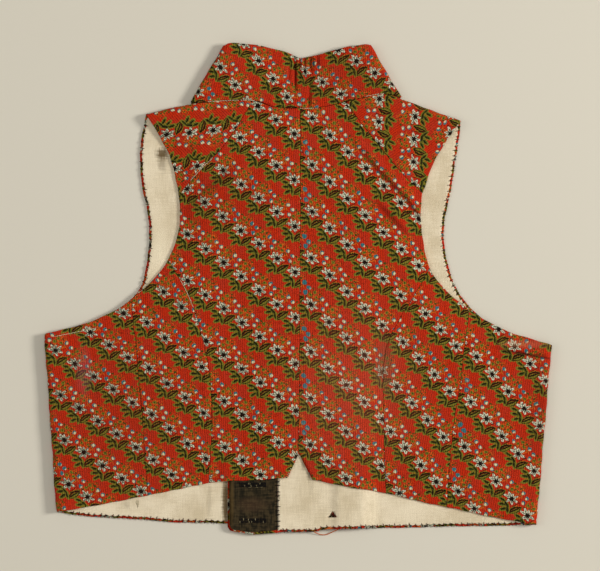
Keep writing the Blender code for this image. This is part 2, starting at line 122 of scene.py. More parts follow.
# %% Collar, front hem and neckline. The same columns
COLLAR_TOP = (
    (-70.5, 231.5, 69.5, 231.8),
    (-63.0, 233.4, 62.0, 231.6),
    (-40.2, 231.3, 45.0, 228.8),
    (-13.5, 225.3, 19.7, 222.3),
    (3.5, 218.8, 3.5, 218.8),
)
FRONT_HEM = (
    (-229.5, -213.4, 227.3, -225.4),
    (-209.0, -216.0, 190.2, -225.8),
    (-190.4, -217.5, 111.6, -227.4),
    (-163.2, -219.3, 57.3, -228.6),
    (-136.1, -221.0, 28.0, -229.0),
    (-122.5, -222.3, 16.6, -231.2),
    (-108.9, -222.8, 3.0, -232.0),
    (-81.8, -223.6, -10.6, -232.0),
    (-40.0, -224.8, -37.7, -234.0),
    (0.0, -225.6, -51.3, -232.8),
    (66.5, -226.5, -59.0, -231.8),
)
NECKLINE = (
    (-104.0, 175.0, 100.2, 179.3),
    (-74.0, 147.0, 73.0, 150.0),
    (-38.0, 124.0, 38.0, 126.0),
    (-3.0, 115.0, 3.0, 115.0),
)
COLLAR_END = ((-3.0, 171.0, 3.0, 171.0), (-3.0, 115.0, 3.0, 115.0))
print("width at the hem", SIDE_FOLD[1][2] - SIDE_FOLD[1][0], "mm")

# %% Sizes in millimetres
FRONT_WALL, BACK_WALL, COLLAR_WALL, LINING_WALL = 1.2, 1.6, 2.5, 1.0
SEAM, JOIN, AIR = 0.3, 0.06, 0.4
FOLD_RADIUS, COLLAR_RADIUS = 3.8, 4.0
LAYERS = FRONT_WALL + SEAM + LINING_WALL
OVERLAP_LIFT = LAYERS + SEAM
TOP = 2.0 * FOLD_RADIUS
OVERLAP, SLOPE = 66.5, 11.5
FRONT_TOP_Y, LIFT_END_Y, LIFT_FADE = 108.0, 118.0, 22.0
MARGIN = 2.5
FACING_EDGE, FACING_END = -64.8, -19.6
BUTTON_X, BUTTON_Y, BUTTON_STEP, BUTTON_COUNT = 50.0, -215.0, 34.2, 9
BUTTON_RADIUS, BUTTON_THICK = 9.0, 2.0
RIDGE_FLAT, RIDGE_SLOPE, RIDGE_END_Y = 9.8, 10.0, 70.0
EDGE_FALL, FOLD_HOLD, CREASE_FADE, NECK_FADE = 28.0, 34.0, 8.0, 12.0
SWELL, COLLAR_SAG, COLLAR_MIDDLE = 2.0, 3.4, 3.0
# Where the back swells and the collar sags: a first coordinate and the length of the fade
SWELL_LEFT, SWELL_RIGHT, SWELL_ABOVE, SAG_ABOVE = (-62.0, 42.0), (60.0, 24.0), (80.0, 50.0), (182.0, 40.0)
FINE, EDGE_FINE, COARSE = 2.0, 1.2, 9.0
EDGE_ROWS = (0.2, 0.45)
MIDDLE = np.array((0.0, -100.0))
print("layers", round(LAYERS, 2), "mm, height of a fold", TOP, "mm")

# %% [markdown]
# ## Drawing with lines
#
# A tailor's curve is drawn through a few marks. `curve` does that, and `drawn` takes the marks of one
# side from a table. `moved_in` draws the same line a little to one side, and `off_line` tells how
# far every point of the cloth is from a line.


# %% Line helpers
def smooth(t):
    t = np.clip(t, 0.0, 1.0)
    return t * t * (3.0 - 2.0 * t)


def ramp(x, start, length):
    return smooth((x - start) / length)


def side_of(table, side):
    return np.array([row[2 * side : 2 * side + 2] for row in table])


def curve(points, step=FINE):
    p = np.asarray(points, float)
    ends = np.vstack([2 * p[0] - p[1], p, 2 * p[-1] - p[-2]])
    line = [p[0]]
    for a, b, c, d in zip(ends, ends[1:], ends[2:], ends[3:]):
        count = max(1, round(float(np.linalg.norm(c - b)) / step))
        for t in np.arange(1, count + 1) / count:
            middle = 0.5 * (2 * b + (c - a) * t + (2 * a - 5 * b + 4 * c - d) * t**2)
            line.append(middle + 0.5 * (3 * b - a - 3 * c + d) * t**3)
    return np.array(line)


def drawn(table, side, step=FINE):
    return curve(side_of(table, side), step)


def front_arm(side, step=FINE, last=None):
    return curve(np.vstack([side_of(FRONT_ARMHOLE, side), side_of(UNDERARM, side)[2:last]]), step)


def lengths_along(line):
    return np.concatenate([[0.0], np.cumsum(np.linalg.norm(np.diff(line, axis=0), axis=1))])


# %% Distances and moved lines
def off_line(p, line):
    best = np.full(len(p), np.inf)
    for a, b in zip(line, line[1:]):
        along = b - a
        t = np.clip(((p - a) @ along) / max(along @ along, 1e-9), 0.0, 1.0)
        best = np.minimum(best, np.linalg.norm(p - a - t[:, None] * along, axis=1))
    return best


def moved_in(line, by, towards):
    before, after = np.roll(line, 1, 0), np.roll(line, -1, 0)
    before[0], after[-1] = line[0], line[-1]
    along = after - before
    across = np.column_stack([-along[:, 1], along[:, 0]])
    across /= np.linalg.norm(across, axis=1)[:, None]
    sign = np.where((across * (towards - line)).sum(1) > 0, 1.0, -1.0)
    return line + across * sign[:, None] * by


def span(table, side, first, last):
    rows = side_of(table, side)
    line = curve(rows)
    a, b = (int(np.argmin(np.linalg.norm(line - rows[i], axis=1))) for i in (first, last))
    return line[a + 1 : b]


def inside(p, loops):
    crossings = np.zeros(len(p), int)
    for loop in loops:
        for a, b in zip(loop, np.roll(loop, -1, 0)):
            if a[1] != b[1]:
                at = a[0] + (p[:, 1] - a[1]) * (b[0] - a[0]) / (b[1] - a[1])
                crossings += ((a[1] > p[:, 1]) != (b[1] > p[:, 1])) & (p[:, 0] < at)
    return crossings % 2 == 1


# %% [markdown]
# ## Folding
#
# A front is one flat cut. At the side and at the shoulder it turns in a half round and lies back
# over itself, so `Fold` takes a point of the flat cut to its place once folded, and `cut` goes the
# other way, from the outline seen above to the flat cut.


# %% Folds
class Fold:
    def __init__(self, ends, radius, neck=False):
        self.start = np.array(ends[0])
        self.length = float(np.linalg.norm(ends[1] - ends[0]))
        self.along = (ends[1] - ends[0]) / self.length
        self.out = np.array((-self.along[1], self.along[0]))
        if self.out @ -self.start > 0:
            self.out = -self.out
        self.radius = radius
        self.neck = self.length if neck else np.inf

    def past(self, p):
        return (p - self.start) @ self.out + self.radius

    def cut(self, p, far):
        inward = (self.start - p) @ self.out
        r = self.radius
        turn = np.arcsin(np.clip(1.0 - inward / r, -1.0, 1.0))
        flat = np.pi * r + inward - r if far else r - inward
        bent = r * (np.pi - turn) if far else r * turn
        s = np.where(inward >= r, flat, bent)
        return p + np.multiply.outer(s - r + inward, self.out)

    def place(self, p, depth):
        s, r = self.past(p), self.radius
        turn = np.minimum(s / r, np.pi)
        bent = s / r < np.pi
        out = np.where(bent, (r - depth) * np.sin(turn) - r, np.pi * r - s - r)
        height = np.where(bent, r - (r - depth) * np.cos(turn), 2.0 * r - depth)
        flat = ramp((p - self.start) @ self.along, self.neck, NECK_FADE)
        height = height + (2.0 * r - depth - height) * flat
        return p + np.multiply.outer(out - s + r, self.out), height

    def seen(self, p):
        """Where a point of the flat cut would be seen, were the fold sharp and the cloth flat."""
        return p + np.multiply.outer(np.pi * self.radius - 2.0 * self.past(p), self.out)


print("fold lengths", [round(Fold(side_of(SIDE_FOLD, s), FOLD_RADIUS).length) for s in (0, 1)])

# %% [markdown]
# ## How the cloth lies
#
# The two fronts overlap on the table with a row of buttons under them, so the cloth above rises over the
# overlap and over the buttons. The back is highest where the folds hold it up and comes down at its free
# edges. Then come the creases, each placed where the photograph has one.

# %% Creases. Columns: from x, from y, to x, to y, half width, height
CREASES = (
    (-232.0, -47.0, -192.0, -38.5, 3.4, 1.1),
    (-228.0, -53.0, -196.0, -45.0, 3.2, -1.5),
    (192.0, -52.5, 240.0, -62.5, 5.0, 1.7),
    (196.0, -62.5, 240.0, -71.5, 4.4, 1.0),
    (168.0, -49.0, 192.0, -52.5, 5.0, 0.8),
    (-78.0, -168.0, -10.0, -152.0, 5.0, -1.2),
    (-70.0, -175.0, -20.0, -163.0, 6.0, 0.6),
    (-98.0, 72.0, -55.0, 112.0, 10.0, 1.5),
    (16.0, -96.0, 60.0, -120.0, 11.0, -0.8),
    (56.0, 141.0, 76.0, 119.0, 6.0, 1.2),
    (76.0, 119.0, 107.0, 87.0, 6.0, 1.8),
    (107.0, 87.0, 119.0, 70.0, 6.0, 1.5),
    (80.0, 83.0, 104.0, 58.0, 6.0, 1.4),
    (-104.0, 126.0, -70.0, 116.0, 7.0, -1.0),
    (-96.0, 138.0, -64.0, 150.0, 8.0, 0.7),
    (150.0, -150.0, 206.0, -168.0, 10.0, -0.9),
    (-128.0, -70.0, -186.0, -96.0, 10.0, 0.8),
    (-176.0, -140.0, -206.0, -176.0, 9.0, -0.8),
    (92.0, -150.0, 128.0, -176.0, 8.0, 0.7),
    (-30.0, 160.0, -34.0, 128.0, 6.0, -0.9),
    (24.0, 164.0, 22.0, 136.0, 5.0, -0.9),
    (90.0, -74.0, 88.0, -40.0, 5.0, 0.9),
    (-90.0, -60.0, -87.0, -110.0, 5.0, 0.7),
    (-8.0, 60.0, -5.0, 20.0, 5.0, 0.6),
    (9.0, -60.0, 8.0, -110.0, 5.0, 0.6),
)
COLLAR_CREASES = (
    (-8.4, 222.0, -8.6, 200.0, 2.4, -1.1),
    (-2.8, 222.0, -2.0, 190.0, 2.2, -2.6),
    (2.4, 221.0, 2.2, 200.0, 1.8, -2.0),
    (7.2, 221.0, 6.6, 202.0, 1.8, -1.8),
    (12.8, 222.0, 13.2, 208.0, 2.0, -2.2),
    (18.4, 224.0, 18.8, 212.0, 2.0, -1.3),
    (11.8, 196.0, 11.4, 174.0, 2.6, -2.2),
    (-20.0, 176.0, -23.0, 190.0, 3.6, -1.2),
    (-52.0, 181.0, -56.0, 196.0, 5.0, -1.0),
    (40.0, 192.0, 46.0, 179.0, 3.6, -1.2),
    (-64.0, 214.0, -30.0, 204.0, 6.0, 0.9),
)


# %% Heights
def overlap_lift(p):
    across = 1.0 - ramp(p[:, 0], OVERLAP, SLOPE)
    return OVERLAP_LIFT * across * (1.0 - ramp(p[:, 1], LIFT_END_Y, LIFT_FADE))


def ridge(p):
    across = 1.0 - ramp(np.abs(p[:, 0] - BUTTON_X), RIDGE_FLAT, RIDGE_SLOPE)
    return (BUTTON_THICK + SEAM) * across * (1.0 - ramp(p[:, 1], RIDGE_END_Y, RIDGE_SLOPE))


def crease(p, rows):
    total = np.zeros(len(p))
    for x0, y0, x1, y1, half, height in rows:
        away = off_line(p, np.array(((x0, y0), (x1, y1)))) / half
        total += height * np.maximum(0.0, 1.0 - away * away) ** 2
    return total


FREE_EDGES = [curve(np.vstack([side_of(BACK_ARMHOLE, s), side_of(UNDERARM, s)[1:]])) for s in (0, 1)]
FREE_EDGES += [drawn(BACK_HEM, s) for s in (0, 1)]
FREE_EDGES.append(np.array([FREE_EDGES[2][-1], CENTRE_SEAM[-1], FREE_EDGES[3][-1]]))
FOLD_LINES = [side_of(t, s) for t in (SIDE_FOLD, SHOULDER_FOLD) for s in (0, 1)]


def top_height(p):
    nearest = np.min([off_line(p, line) for line in FOLD_LINES], axis=0)
    hold = ramp(nearest, FOLD_RADIUS, FOLD_HOLD)
    full = SWELL * ramp(p[:, 0], *SWELL_LEFT) * (1.0 - ramp(p[:, 0], *SWELL_RIGHT))
    full *= 1.0 - ramp(p[:, 1], *SWELL_ABOVE)
    over = ramp(p[:, 0], -OVERLAP - SLOPE, SLOPE) * overlap_lift(p)
    rest = LAYERS + over + ridge(p) + AIR + BACK_WALL - TOP
    away = smooth(np.min([off_line(p, line) for line in FREE_EDGES], axis=0) / EDGE_FALL)
    lie = TOP + hold * np.maximum(rest, rest + (full - rest) * away)
    return np.maximum(TOP + rest, lie + crease(p, CREASES) * smooth(nearest / CREASE_FADE))


print(len(CREASES) + len(COLLAR_CREASES), "creases")
print("height of the back's middle", top_height(MIDDLE[None]).round(1), "mm")


# %% [markdown]
# ## A wall of cloth
#
# Cloth has two faces that meet at a rounded edge. `wall` fills an outline with small triangles,
# lays one skin for each face and joins them all round, and keeps a flat map of the piece, in
# repeats of the print, so that the sprigs follow the threads wherever the cloth goes.


# %% Triangles
def size_of_cut(loops):
    """Width, length and area of the flat cut, in metres."""
    width, length = (loops[0].max(0) - loops[0].min(0)) * MM
    sums = [np.sum(x * np.roll(y, 1) - y * np.roll(x, 1)) for x, y in (v.T for v in loops)]
    areas = [abs(total) * 0.5 * MM**2 for total in sums]
    return float(width), float(length), float(areas[0] - sum(areas[1:]))


def triangulate(loops, spacing):
    points, edges = [], []
    closed = [np.vstack([loop, loop[:1]]) for loop in loops]
    for loop in loops:
        first, count = len(points), len(loop)
        points.extend(Vector(p) for p in loop)
        edges.extend((first + i, first + (i + 1) % count) for i in range(count))
        for by in EDGE_ROWS:
            near = moved_in(loop, by, loop.mean(0))
            near = np.vstack([near, 2.0 * loop - near])
            near = near[inside(near, loops)]
            clear = np.min([off_line(near, line) for line in closed], axis=0) > 0.95 * by
            points.extend(Vector(p) for p in near[clear])
    low, high = loops[0].min(0), loops[0].max(0)
    step = spacing(None)
    rows = np.arange(low[1], high[1], step * 0.866)
    columns = np.arange(low[0], high[0], step)
    i, j = np.meshgrid(np.arange(len(columns)), np.arange(len(rows)))
    grid = np.column_stack([(columns[i] + 0.5 * step * (j % 2)).ravel(), rows[j].ravel()])
    sparse = ((i % 4 == 0) & (j % 4 == 0)).ravel()
    grid = grid[(spacing(grid) <= step) | sparse]
    grid = grid[inside(grid, loops)]
    gap = np.min([off_line(grid, line) for line in closed], axis=0)
    points.extend(Vector(p) for p in grid[gap > 0.6 * step])
    found = delaunay_2d_cdt(points, edges, [], 0, 1e-5)
    places = np.array([p[:] for p in found[0]])
    triangles = np.array(found[2])
    kept = triangles[inside(places[triangles].mean(1), loops)]
    used, kept = np.unique(kept, return_inverse=True)
    return places[used], kept.reshape(-1, 3), closed


def uneven(placed):
    """Sewn edges are never quite true: every line strays by a fraction of a millimetre."""
    x, y = placed[:, 0].copy(), placed[:, 1].copy()
    placed[:, 0] += 0.22 * np.sin(y / 2.9 + 1.3 * np.sin(x / 7.3)) + 0.25 * np.sin(y / 9.7 + x / 31.0)
    placed[:, 1] += 0.22 * np.sin(x / 3.3 + 1.7 * np.sin(y / 6.1)) + 0.25 * np.sin(x / 11.9 - y / 27.0)
    return placed


# %% Walls
CUTS, CLOTHS = {}, {}


def solid(name, points, faces, material, flat=None):
    """One mesh on the root, its faces turned outwards, with the flat map if it is cloth."""
    mesh = bpy.data.meshes.new(name)
    mesh.from_pydata(np.array(points) * MM, [], faces)
    if flat is not None:
        layer = mesh.uv_layers.new(name="print")
        layer.uv.foreach_set("vector", flat[np.ravel(faces)].astype(np.float32).ravel())
    shape = bmesh.new()
    shape.from_mesh(mesh)
    bmesh.ops.recalc_face_normals(shape, faces=shape.faces)
    shape.to_mesh(mesh)
    shape.free()
    mesh.shade_smooth()
    mesh.materials.append(material)
    piece = bpy.data.objects.new(name, mesh)
    bpy.context.collection.objects.link(piece)
    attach(piece, "root")
    return piece


def wall(name, loops, thick, place, map_at, cloth, spacing=None, round_edge=0.45):
    """A piece of cloth. It stands for the node of its name, and `cloth` holds its material and a slot
    name, which is not used.
    """
    CUTS[name] = size_of_cut(loops)
    points, triangles, closed = triangulate(loops, spacing or (lambda p: FINE))
    off = np.min([off_line(points, line) for line in closed], axis=0)
    rim = off < 1e-4
    count = len(points)
    skins = []
    for depth in (0.0, thick):
        share = 1.0 - np.clip(off / round_edge, 0.0, 1.0)
        bend = 1.0 - np.sqrt(1.0 - share * share)
        skins.append(uneven(place(points, depth + (0.5 * thick - depth) * bend)))
    index = np.arange(count)
    index[~rim] = np.arange(count, count + (~rim).sum())
    corners = np.vstack([triangles[:, ::-1], index[triangles]])
    skin = np.vstack([skins[0], skins[1][~rim]])
    flat = np.vstack([map_at(points), map_at(points)[~rim]])
    material, slot = cloth
    piece = solid(f"cloth_{name}", skin, corners.tolist(), material, flat)
    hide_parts(name)
    CLOTHS[name] = piece
    print(piece.name, len(corners), "triangles")


# %% [markdown]
# ## The repeat of the print
#
# The sprigs stand in columns. A repeat is two steps: one to the same sprig in the next column, and
# one to the next sprig down. Every panel was cut at its own angle, so each has its own two steps.

# %% Repeats in millimetres. Columns: origin, step to the next column, step down
REPEATS = {
    "back_left": ((-52.4, 11.0), (17.1, -13.2), (0.3, -43.8)),
    "back_right": ((48.0, -3.8), (16.9, -16.0), (-0.3, -44.3)),
    "side_back_left": ((-122.7, -90.6), (17.3, -14.0), (2.0, -43.5)),
    "side_back_right": ((109.9, -109.7), (14.7, -15.8), (-6.2, -42.7)),
    "side_left": ((-188.4, -126.4), (18.1, -12.3), (4.0, -42.3)),
    "side_right": ((195.4, -141.0), (15.0, -16.4), (-5.8, -42.7)),
    "shoulder_left": ((-103.3, 147.6), (-22.1, -1.8), (-28.9, 30.5)),
    "shoulder_right": ((110.5, 142.7), (0.4, 21.6), (34.6, 26.7)),
    "collar_left": ((-36.4, 215.6), (13.9, -17.2), (-7.9, -40.4)),
    "collar_right": ((41.9, 184.6), (17.4, -10.8), (2.3, -41.9)),
}
STEPS = np.array(((16.9, -13.2), (0.4, -44.1)))


def repeats(p, zone):
    origin, across, down = (np.array(v) for v in REPEATS[zone])
    return (p - origin) @ np.linalg.inv(np.array((across, down)))


def meeting(p, first, second, share, at):
    """Two maps of one cloth, joined so that the print runs on through the point `at`."""
    point = np.array([at])
    turns = np.round(first(point) - second(point))
    share = share[:, None]
    return first(p) * (1.0 - share) + (second(p) + turns) * share


print(len(REPEATS), "zones, each", np.linalg.norm(STEPS, axis=1).round(1), "mm from sprig to sprig")


# %% [markdown]
# ## Materials
#
# A material here is a sum of small shapes. `Paint` keeps the node tree and offers the few sums
# that the shapes need: `sum`, `vector`, `mix` and `edge`, which is 1 inside a limit and 0 outside.


# %% Paint
def rgb(red, green, blue):
    """A colour picked from a picture, made linear."""
    share = np.array((red, green, blue)) / 255.0
    linear = np.where(share > 0.04045, ((share + 0.055) / 1.055) ** 2.4, share / 12.92)
    return (*(float(v) for v in linear), 1.0)


class Paint:
    def __init__(self, name, roughness, metallic=0.0):
        self.material = bpy.data.materials.new(name)
        self.material.use_nodes = True
        self.tree = self.material.node_tree
        self.shader = self.tree.nodes["Principled BSDF"]
        self.shader.inputs["Roughness"].default_value = roughness
        self.shader.inputs["Metallic"].default_value = metallic
        self.shader.inputs["Specular IOR Level"].default_value = 0.5 if metallic else 0.08

    def node(self, kind, inputs=(), **settings):
        made = self.tree.nodes.new(f"ShaderNode{kind}")
        for key, value in settings.items():
            setattr(made, key, value)
        for key, value in dict(inputs).items():
            self.put(made.inputs[key], value)
        return made

    def put(self, entry, value):
        if isinstance(value, bpy.types.NodeSocket):
            self.tree.links.new(value, entry)
        else:
            entry.default_value = value

    def sum(self, operation, *values):
        return self.node("Math", enumerate(values), operation=operation).outputs[0]

    def vector(self, operation, *values):
        made = self.node("VectorMath", enumerate(values), operation=operation)
        return made.outputs["Value" if operation in ("LENGTH", "DOT_PRODUCT") else "Vector"]

    def mix(self, share, low, high):
        inputs = {0: share, 6: low, 7: high}
        return self.node("Mix", inputs, data_type="RGBA").outputs[2]

    def edge(self, value, limit, soft):
        inputs = {0: value, 1: limit - soft, 2: limit + soft, 3: 1.0, 4: 0.0}
        return self.node("MapRange", inputs, interpolation_type="SMOOTHSTEP").outputs[0]

    def noise(self, at, scale, detail):
        inputs = {"Vector": at, "Scale": scale, "Detail": detail}
        return self.node("TexNoise", inputs).outputs[0]

    def object_place(self):
        return self.node("TexCoord").outputs["Object"]

    def patch(self, centre, size, soft=0.6, turn=0.0):
        """1 inside a soft oval given in millimetres, ragged at its edge, and 0 outside it."""
        inputs = {"Vector": self.place, "Location": np.array(centre) * MM, "Scale": np.array(size) * MM}
        inputs["Rotation"] = (0.0, 0.0, turn)
        spot = self.node("Mapping", inputs, vector_type="TEXTURE").outputs[0]
        off = self.sum("MULTIPLY_ADD", self.grain, 0.9, self.vector("LENGTH", spot))
        return self.edge(off, 1.35, soft)

    # Mixes a colour into a soft oval: used for stains, and also for painted shade and painted light
    def stain_or_shade(self, centre, size, colour, strength, soft=0.6, turn=0.0):
        share = self.sum("MULTIPLY", self.patch(centre, size, soft, turn), strength)
        self.ground = self.mix(share, self.ground, colour)

    def bump(self, height, strength, distance):
        inputs = {"Height": height, "Strength": strength, "Distance": distance}
        self.put(self.shader.inputs["Normal"], self.node("Bump", inputs).outputs[0])

    def colour(self, value):
        self.put(self.shader.inputs["Base Color"], value)


def stained_or_shaded(paint, rows, soft=0.6):
    """One mark for each row of: x, y, half width, half height, strength, colour. A mark is dirt, wear,
    painted shade or painted light.
    """
    for x, y, half_x, half_y, strength, colour in rows:
        paint.stain_or_shade((x, y, 0.0), (half_x, half_y, DEEP), colour, strength, soft)


# Higher than the whole part, in millimetres, for stains, painted shade and painted light that go through
# every layer
DEEP = 1000.0

# %% [markdown]
# ## The linen and the dark facing
#
# Plain weaves need little colour: two soft noises for wear and slubs, fine threads crossing, and marks at
# the armhole, at the hem and in the notch. Some are stains. Others are painted shade: where the linen
# dips under the back at the left armhole, and beside the left edge of the facing, where it is partly
# dirt. A paler patch low in the left armhole is painted light.


# %% Plain cloths
class Plain(Paint):
    def __init__(self, name, light, dark, threads, patches, slubs):
        super().__init__(name, 0.95)
        self.place = self.object_place()
        worn = self.noise(self.place, patches, 5.0)
        lengths = [self.vector("MULTIPLY", self.place, stretch) for stretch in THREADWISE]
        self.grain = self.sum("MULTIPLY", *(self.noise(at, 800.0, 2.0) for at in lengths))
        self.grain = self.sum("MULTIPLY", self.grain, 2.0)
        tone = self.sum("MULTIPLY_ADD", self.grain, slubs, worn)
        self.ground = self.mix(self.edge(tone, 0.5 + 0.5 * slubs, 0.25), light, dark)
        waves = [self.vector("DOT_PRODUCT", self.place, way) for way in np.eye(3)[:2] * threads]
        weave = self.sum("MULTIPLY", *(self.sum("SINE", wave) for wave in waves))
        self.bump(self.sum("MULTIPLY_ADD", self.grain, 1.5, weave), 0.5, 0.0002)


THREADWISE = ((1.0, 0.1, 1.0), (0.1, 1.0, 1.0))
DIRT_AND_SHADE = rgb(96, 76, 46)

# Columns: x, y, half width, half height, strength, colour
LINEN_STAINS_AND_SHADE = (
    # Painted shade where the linen dips under the back's armhole edge on the left
    (-128.6, 121.0, 4.4, 10.0, 0.5, DIRT_AND_SHADE),
    (-129.0, 128.0, 5.6, 5.0, 0.9, DIRT_AND_SHADE),
    # Painted shade beside the left edge of the facing, partly dirt
    (-68.6, -206.0, 3.4, 30.0, 0.95, DIRT_AND_SHADE),
    (-84.0, -203.0, 2.5, 16.0, 0.18, DIRT_AND_SHADE),
    (13.0, -183.0, 2.5, 12.0, 0.12, DIRT_AND_SHADE),
    (5.5, -168.0, 2.0, 6.0, 0.4, DIRT_AND_SHADE),
    (10.6, -177.0, 2.2, 6.5, 0.5, DIRT_AND_SHADE),
    (-150.0, 20.0, 6.0, 24.0, 0.12, DIRT_AND_SHADE),
)
# Painted light: a paler patch where the linen low in the left armhole faces the light
LINEN_PAINTED_LIGHT = ((-131.0, 34.0, 8.0, 26.0, 0.6, rgb(252, 238, 206)),)
DARK_STAINS = (
    (-43.0, -206.0, 13.0, 7.0, 0.4, rgb(82, 60, 42)),
    (-63.0, -200.0, 2.5, 26.0, 0.35, rgb(112, 88, 48)),
)
linen = Plain("linen", rgb(238, 223, 193), rgb(212, 195, 162), 7000.0, 30.0, 0.35)
stained_or_shaded(linen, LINEN_STAINS_AND_SHADE)
stained_or_shaded(linen, LINEN_PAINTED_LIGHT, 1.0)
linen.colour(linen.ground)
dark_cloth = Plain("dark_cloth", rgb(66, 55, 36), rgb(27, 25, 17), 5200.0, 200.0, 0.7)
stained_or_shaded(dark_cloth, DARK_STAINS)
dark_cloth.colour(dark_cloth.ground)
LINEN, FACING = (linen.material, "linen"), (dark_cloth.material, "facing")
print("stains", len(LINEN_STAINS_AND_SHADE) + len(LINEN_PAINTED_LIGHT) + len(DARK_STAINS))

# %% [markdown]
# ## The sprigs
#
# A sprig is charted here as a printer would draw it: ovals for petals, leaflets and berries, and
# a pointed leaf. Millimetres run right and up from the star, and each row is one shape. `LEAF`,
# `BRANCH` and `SPECKS` have one row: the leaf, the twig above it and the field of fine specks.

# %% The chart
# Columns: x, y, turn in degrees, half length, half width
PETALS = (
    (-4.9, 1.6, 165.0, 3.9, 1.4),
    (-3.4, 3.5, 118.0, 3.4, 1.35),
    (-0.9, 3.0, 86.0, 2.7, 1.25),
    (1.7, 2.1, 36.0, 3.6, 1.2),
    (2.4, -1.1, -22.0, 3.6, 1.3),
    (-0.4, -2.9, -74.0, 2.7, 1.4),
    (-3.3, -2.1, -146.0, 2.7, 1.3),
)
STAR = ((-1.0, 0.1, 10.0, 3.0, 1.0), (-1.0, 0.1, 68.0, 2.7, 1.0), (-1.0, 0.1, 130.0, 3.0, 1.0))
BERRIES = ((9.3, 7.1, 35.0, 2.0, 1.8), (13.4, 2.6, -30.0, 2.0, 1.8), (10.5, -2.3, -75.0, 2.0, 1.8))
LEAFLETS = (
    (-9.8, -2.6, -16.0, 3.3, 1.5),
    (-8.9, -7.0, 2.0, 3.3, 1.55),
    (-7.2, -11.4, 28.0, 3.4, 1.5),
    (-5.0, -6.4, -48.0, 3.9, 1.5),
    (-3.2, -11.0, 96.0, 3.4, 1.3),
)
LEAF = (3.4, -10.4, 33.0, 7.7, 3.5)
BRANCH = (2.8, -5.8, 40.0, 4.8, 0.6)
VEINS = ((2.4, -7.2, 38.0, 4.4, 0.4), (4.8, 1.9, 28.0, 3.4, 0.4), (8.0, 3.6, -60.0, 3.0, 0.35))
RINGS = ((2.4, 12.2, 0.0, 1.7, 1.6), (-1.9, 9.4, 0.0, 1.7, 1.6), (4.0, 7.6, 0.0, 1.6, 1.5))
DOTS = (
    (6.6, 11.0, 0.0, 1.0, 0.9),
    (-5.6, 7.2, 0.0, 1.1, 0.9),
    (0.4, 15.4, 0.0, 1.1, 0.9),
    (7.4, 4.4, 0.0, 0.9, 0.9),
)
SPECKS = (2.5, 8.0, 35.0, 11.0, 7.5)

RED, CRIMSON, ORANGE, SHADE = rgb(204, 46, 12), rgb(194, 52, 28), rgb(216, 110, 32), rgb(146, 30, 8)
CREAM, TEAL, WHITE, GREY = rgb(218, 208, 162), rgb(48, 114, 122), rgb(226, 224, 194), rgb(104, 112, 92)
OLIVE, GREEN, BLACK, BROWN = rgb(122, 116, 36), rgb(58, 72, 22), rgb(16, 11, 4), rgb(104, 34, 10)
print("ovals", sum(len(rows) for rows in (PETALS, STAR, BERRIES, LEAFLETS, VEINS, RINGS, DOTS)))

# %% [markdown]
# The chart repeats by wrapping: a point's place in repeats is brought back to within half a
# repeat of a chosen middle, and only then turned into millimetres. Each group of shapes has its
# own middle, so that no group is cut by the border of the repeat. A fine noise, added to every
# outline, makes the ragged edge that ink leaves on ribbed cloth.


# %% Printed cloth
class Sprigs(Paint):
    def __init__(self, name):
        super().__init__(name, 0.88)
        self.map = self.node("UVMap", uv_map="print").outputs[0]
        self.rows, self.inverse = STEPS.T, np.linalg.inv(STEPS)
        wobble = self.node("TexNoise", {"Vector": self.map, "Scale": 9.0, "Detail": 1.0})
        self.wobble = self.vector("SUBTRACT", wobble.outputs["Color"], (0.5, 0.5, 0.5))
        self.place = self.object_place()
        self.grain = self.noise(self.place, 750.0, 1.5)
        self.ragged = self.sum("SUBTRACT", self.grain, 0.5)

    def chart(self, x, y, wobble=1.4):
        """Millimetres from the star, wrapped round a middle."""
        low = (*(np.array((x, y)) @ self.inverse - 0.5), 0.0)
        near = self.vector("ADD", self.vector("FRACTION", self.vector("SUBTRACT", self.map, low)), low)
        place = self.node("CombineXYZ")
        for axis in (0, 1):
            self.put(place.inputs[axis], self.vector("DOT_PRODUCT", near, (*self.rows[axis], 0.0)))
        return self.vector("MULTIPLY_ADD", self.wobble, (wobble,) * 3, place.outputs[0])

    def local(self, place, row):
        x, y, turn, length, width = row
        inputs = {"Vector": place, "Location": (x, y, 0.0), "Rotation": (0.0, 0.0, np.radians(turn))}
        inputs["Scale"] = (length, width, 1.0)
        return self.node("Mapping", inputs, vector_type="TEXTURE").outputs[0]

    def nearest(self, place, rows):
        """0 at the middle of the nearest oval and 1 at its edge, a little ragged."""
        values = [self.vector("LENGTH", self.local(place, row)) for row in rows]
        found = values[0]
        for value in values[1:]:
            found = self.sum("MINIMUM", found, value)
        return self.sum("MULTIPLY_ADD", self.ragged, 0.8, found)

    def lay(self, value, limit, soft, colour, share=None):
        inside = self.edge(value, limit, soft)
        if share is not None:
            inside = self.sum("MULTIPLY", inside, share)
        self.ground = self.mix(inside, self.ground, colour)


# %% [markdown]
# Each `lay` puts one colour over what is there. The ground and its specks come first, then the
# leaves from their light rim to their dark strokes, and the star and the berries last.


# %% Ground and leaves
def moved(row, by, length, width):
    """The row's oval, narrower and moved across itself, for the dark stroke of a leaf."""
    x, y, turn, half_length, half_width = row
    angle = np.radians(turn)
    x, y = x - by * np.sin(angle), y + by * np.cos(angle)
    return (x, y, turn, half_length * length, half_width * width)


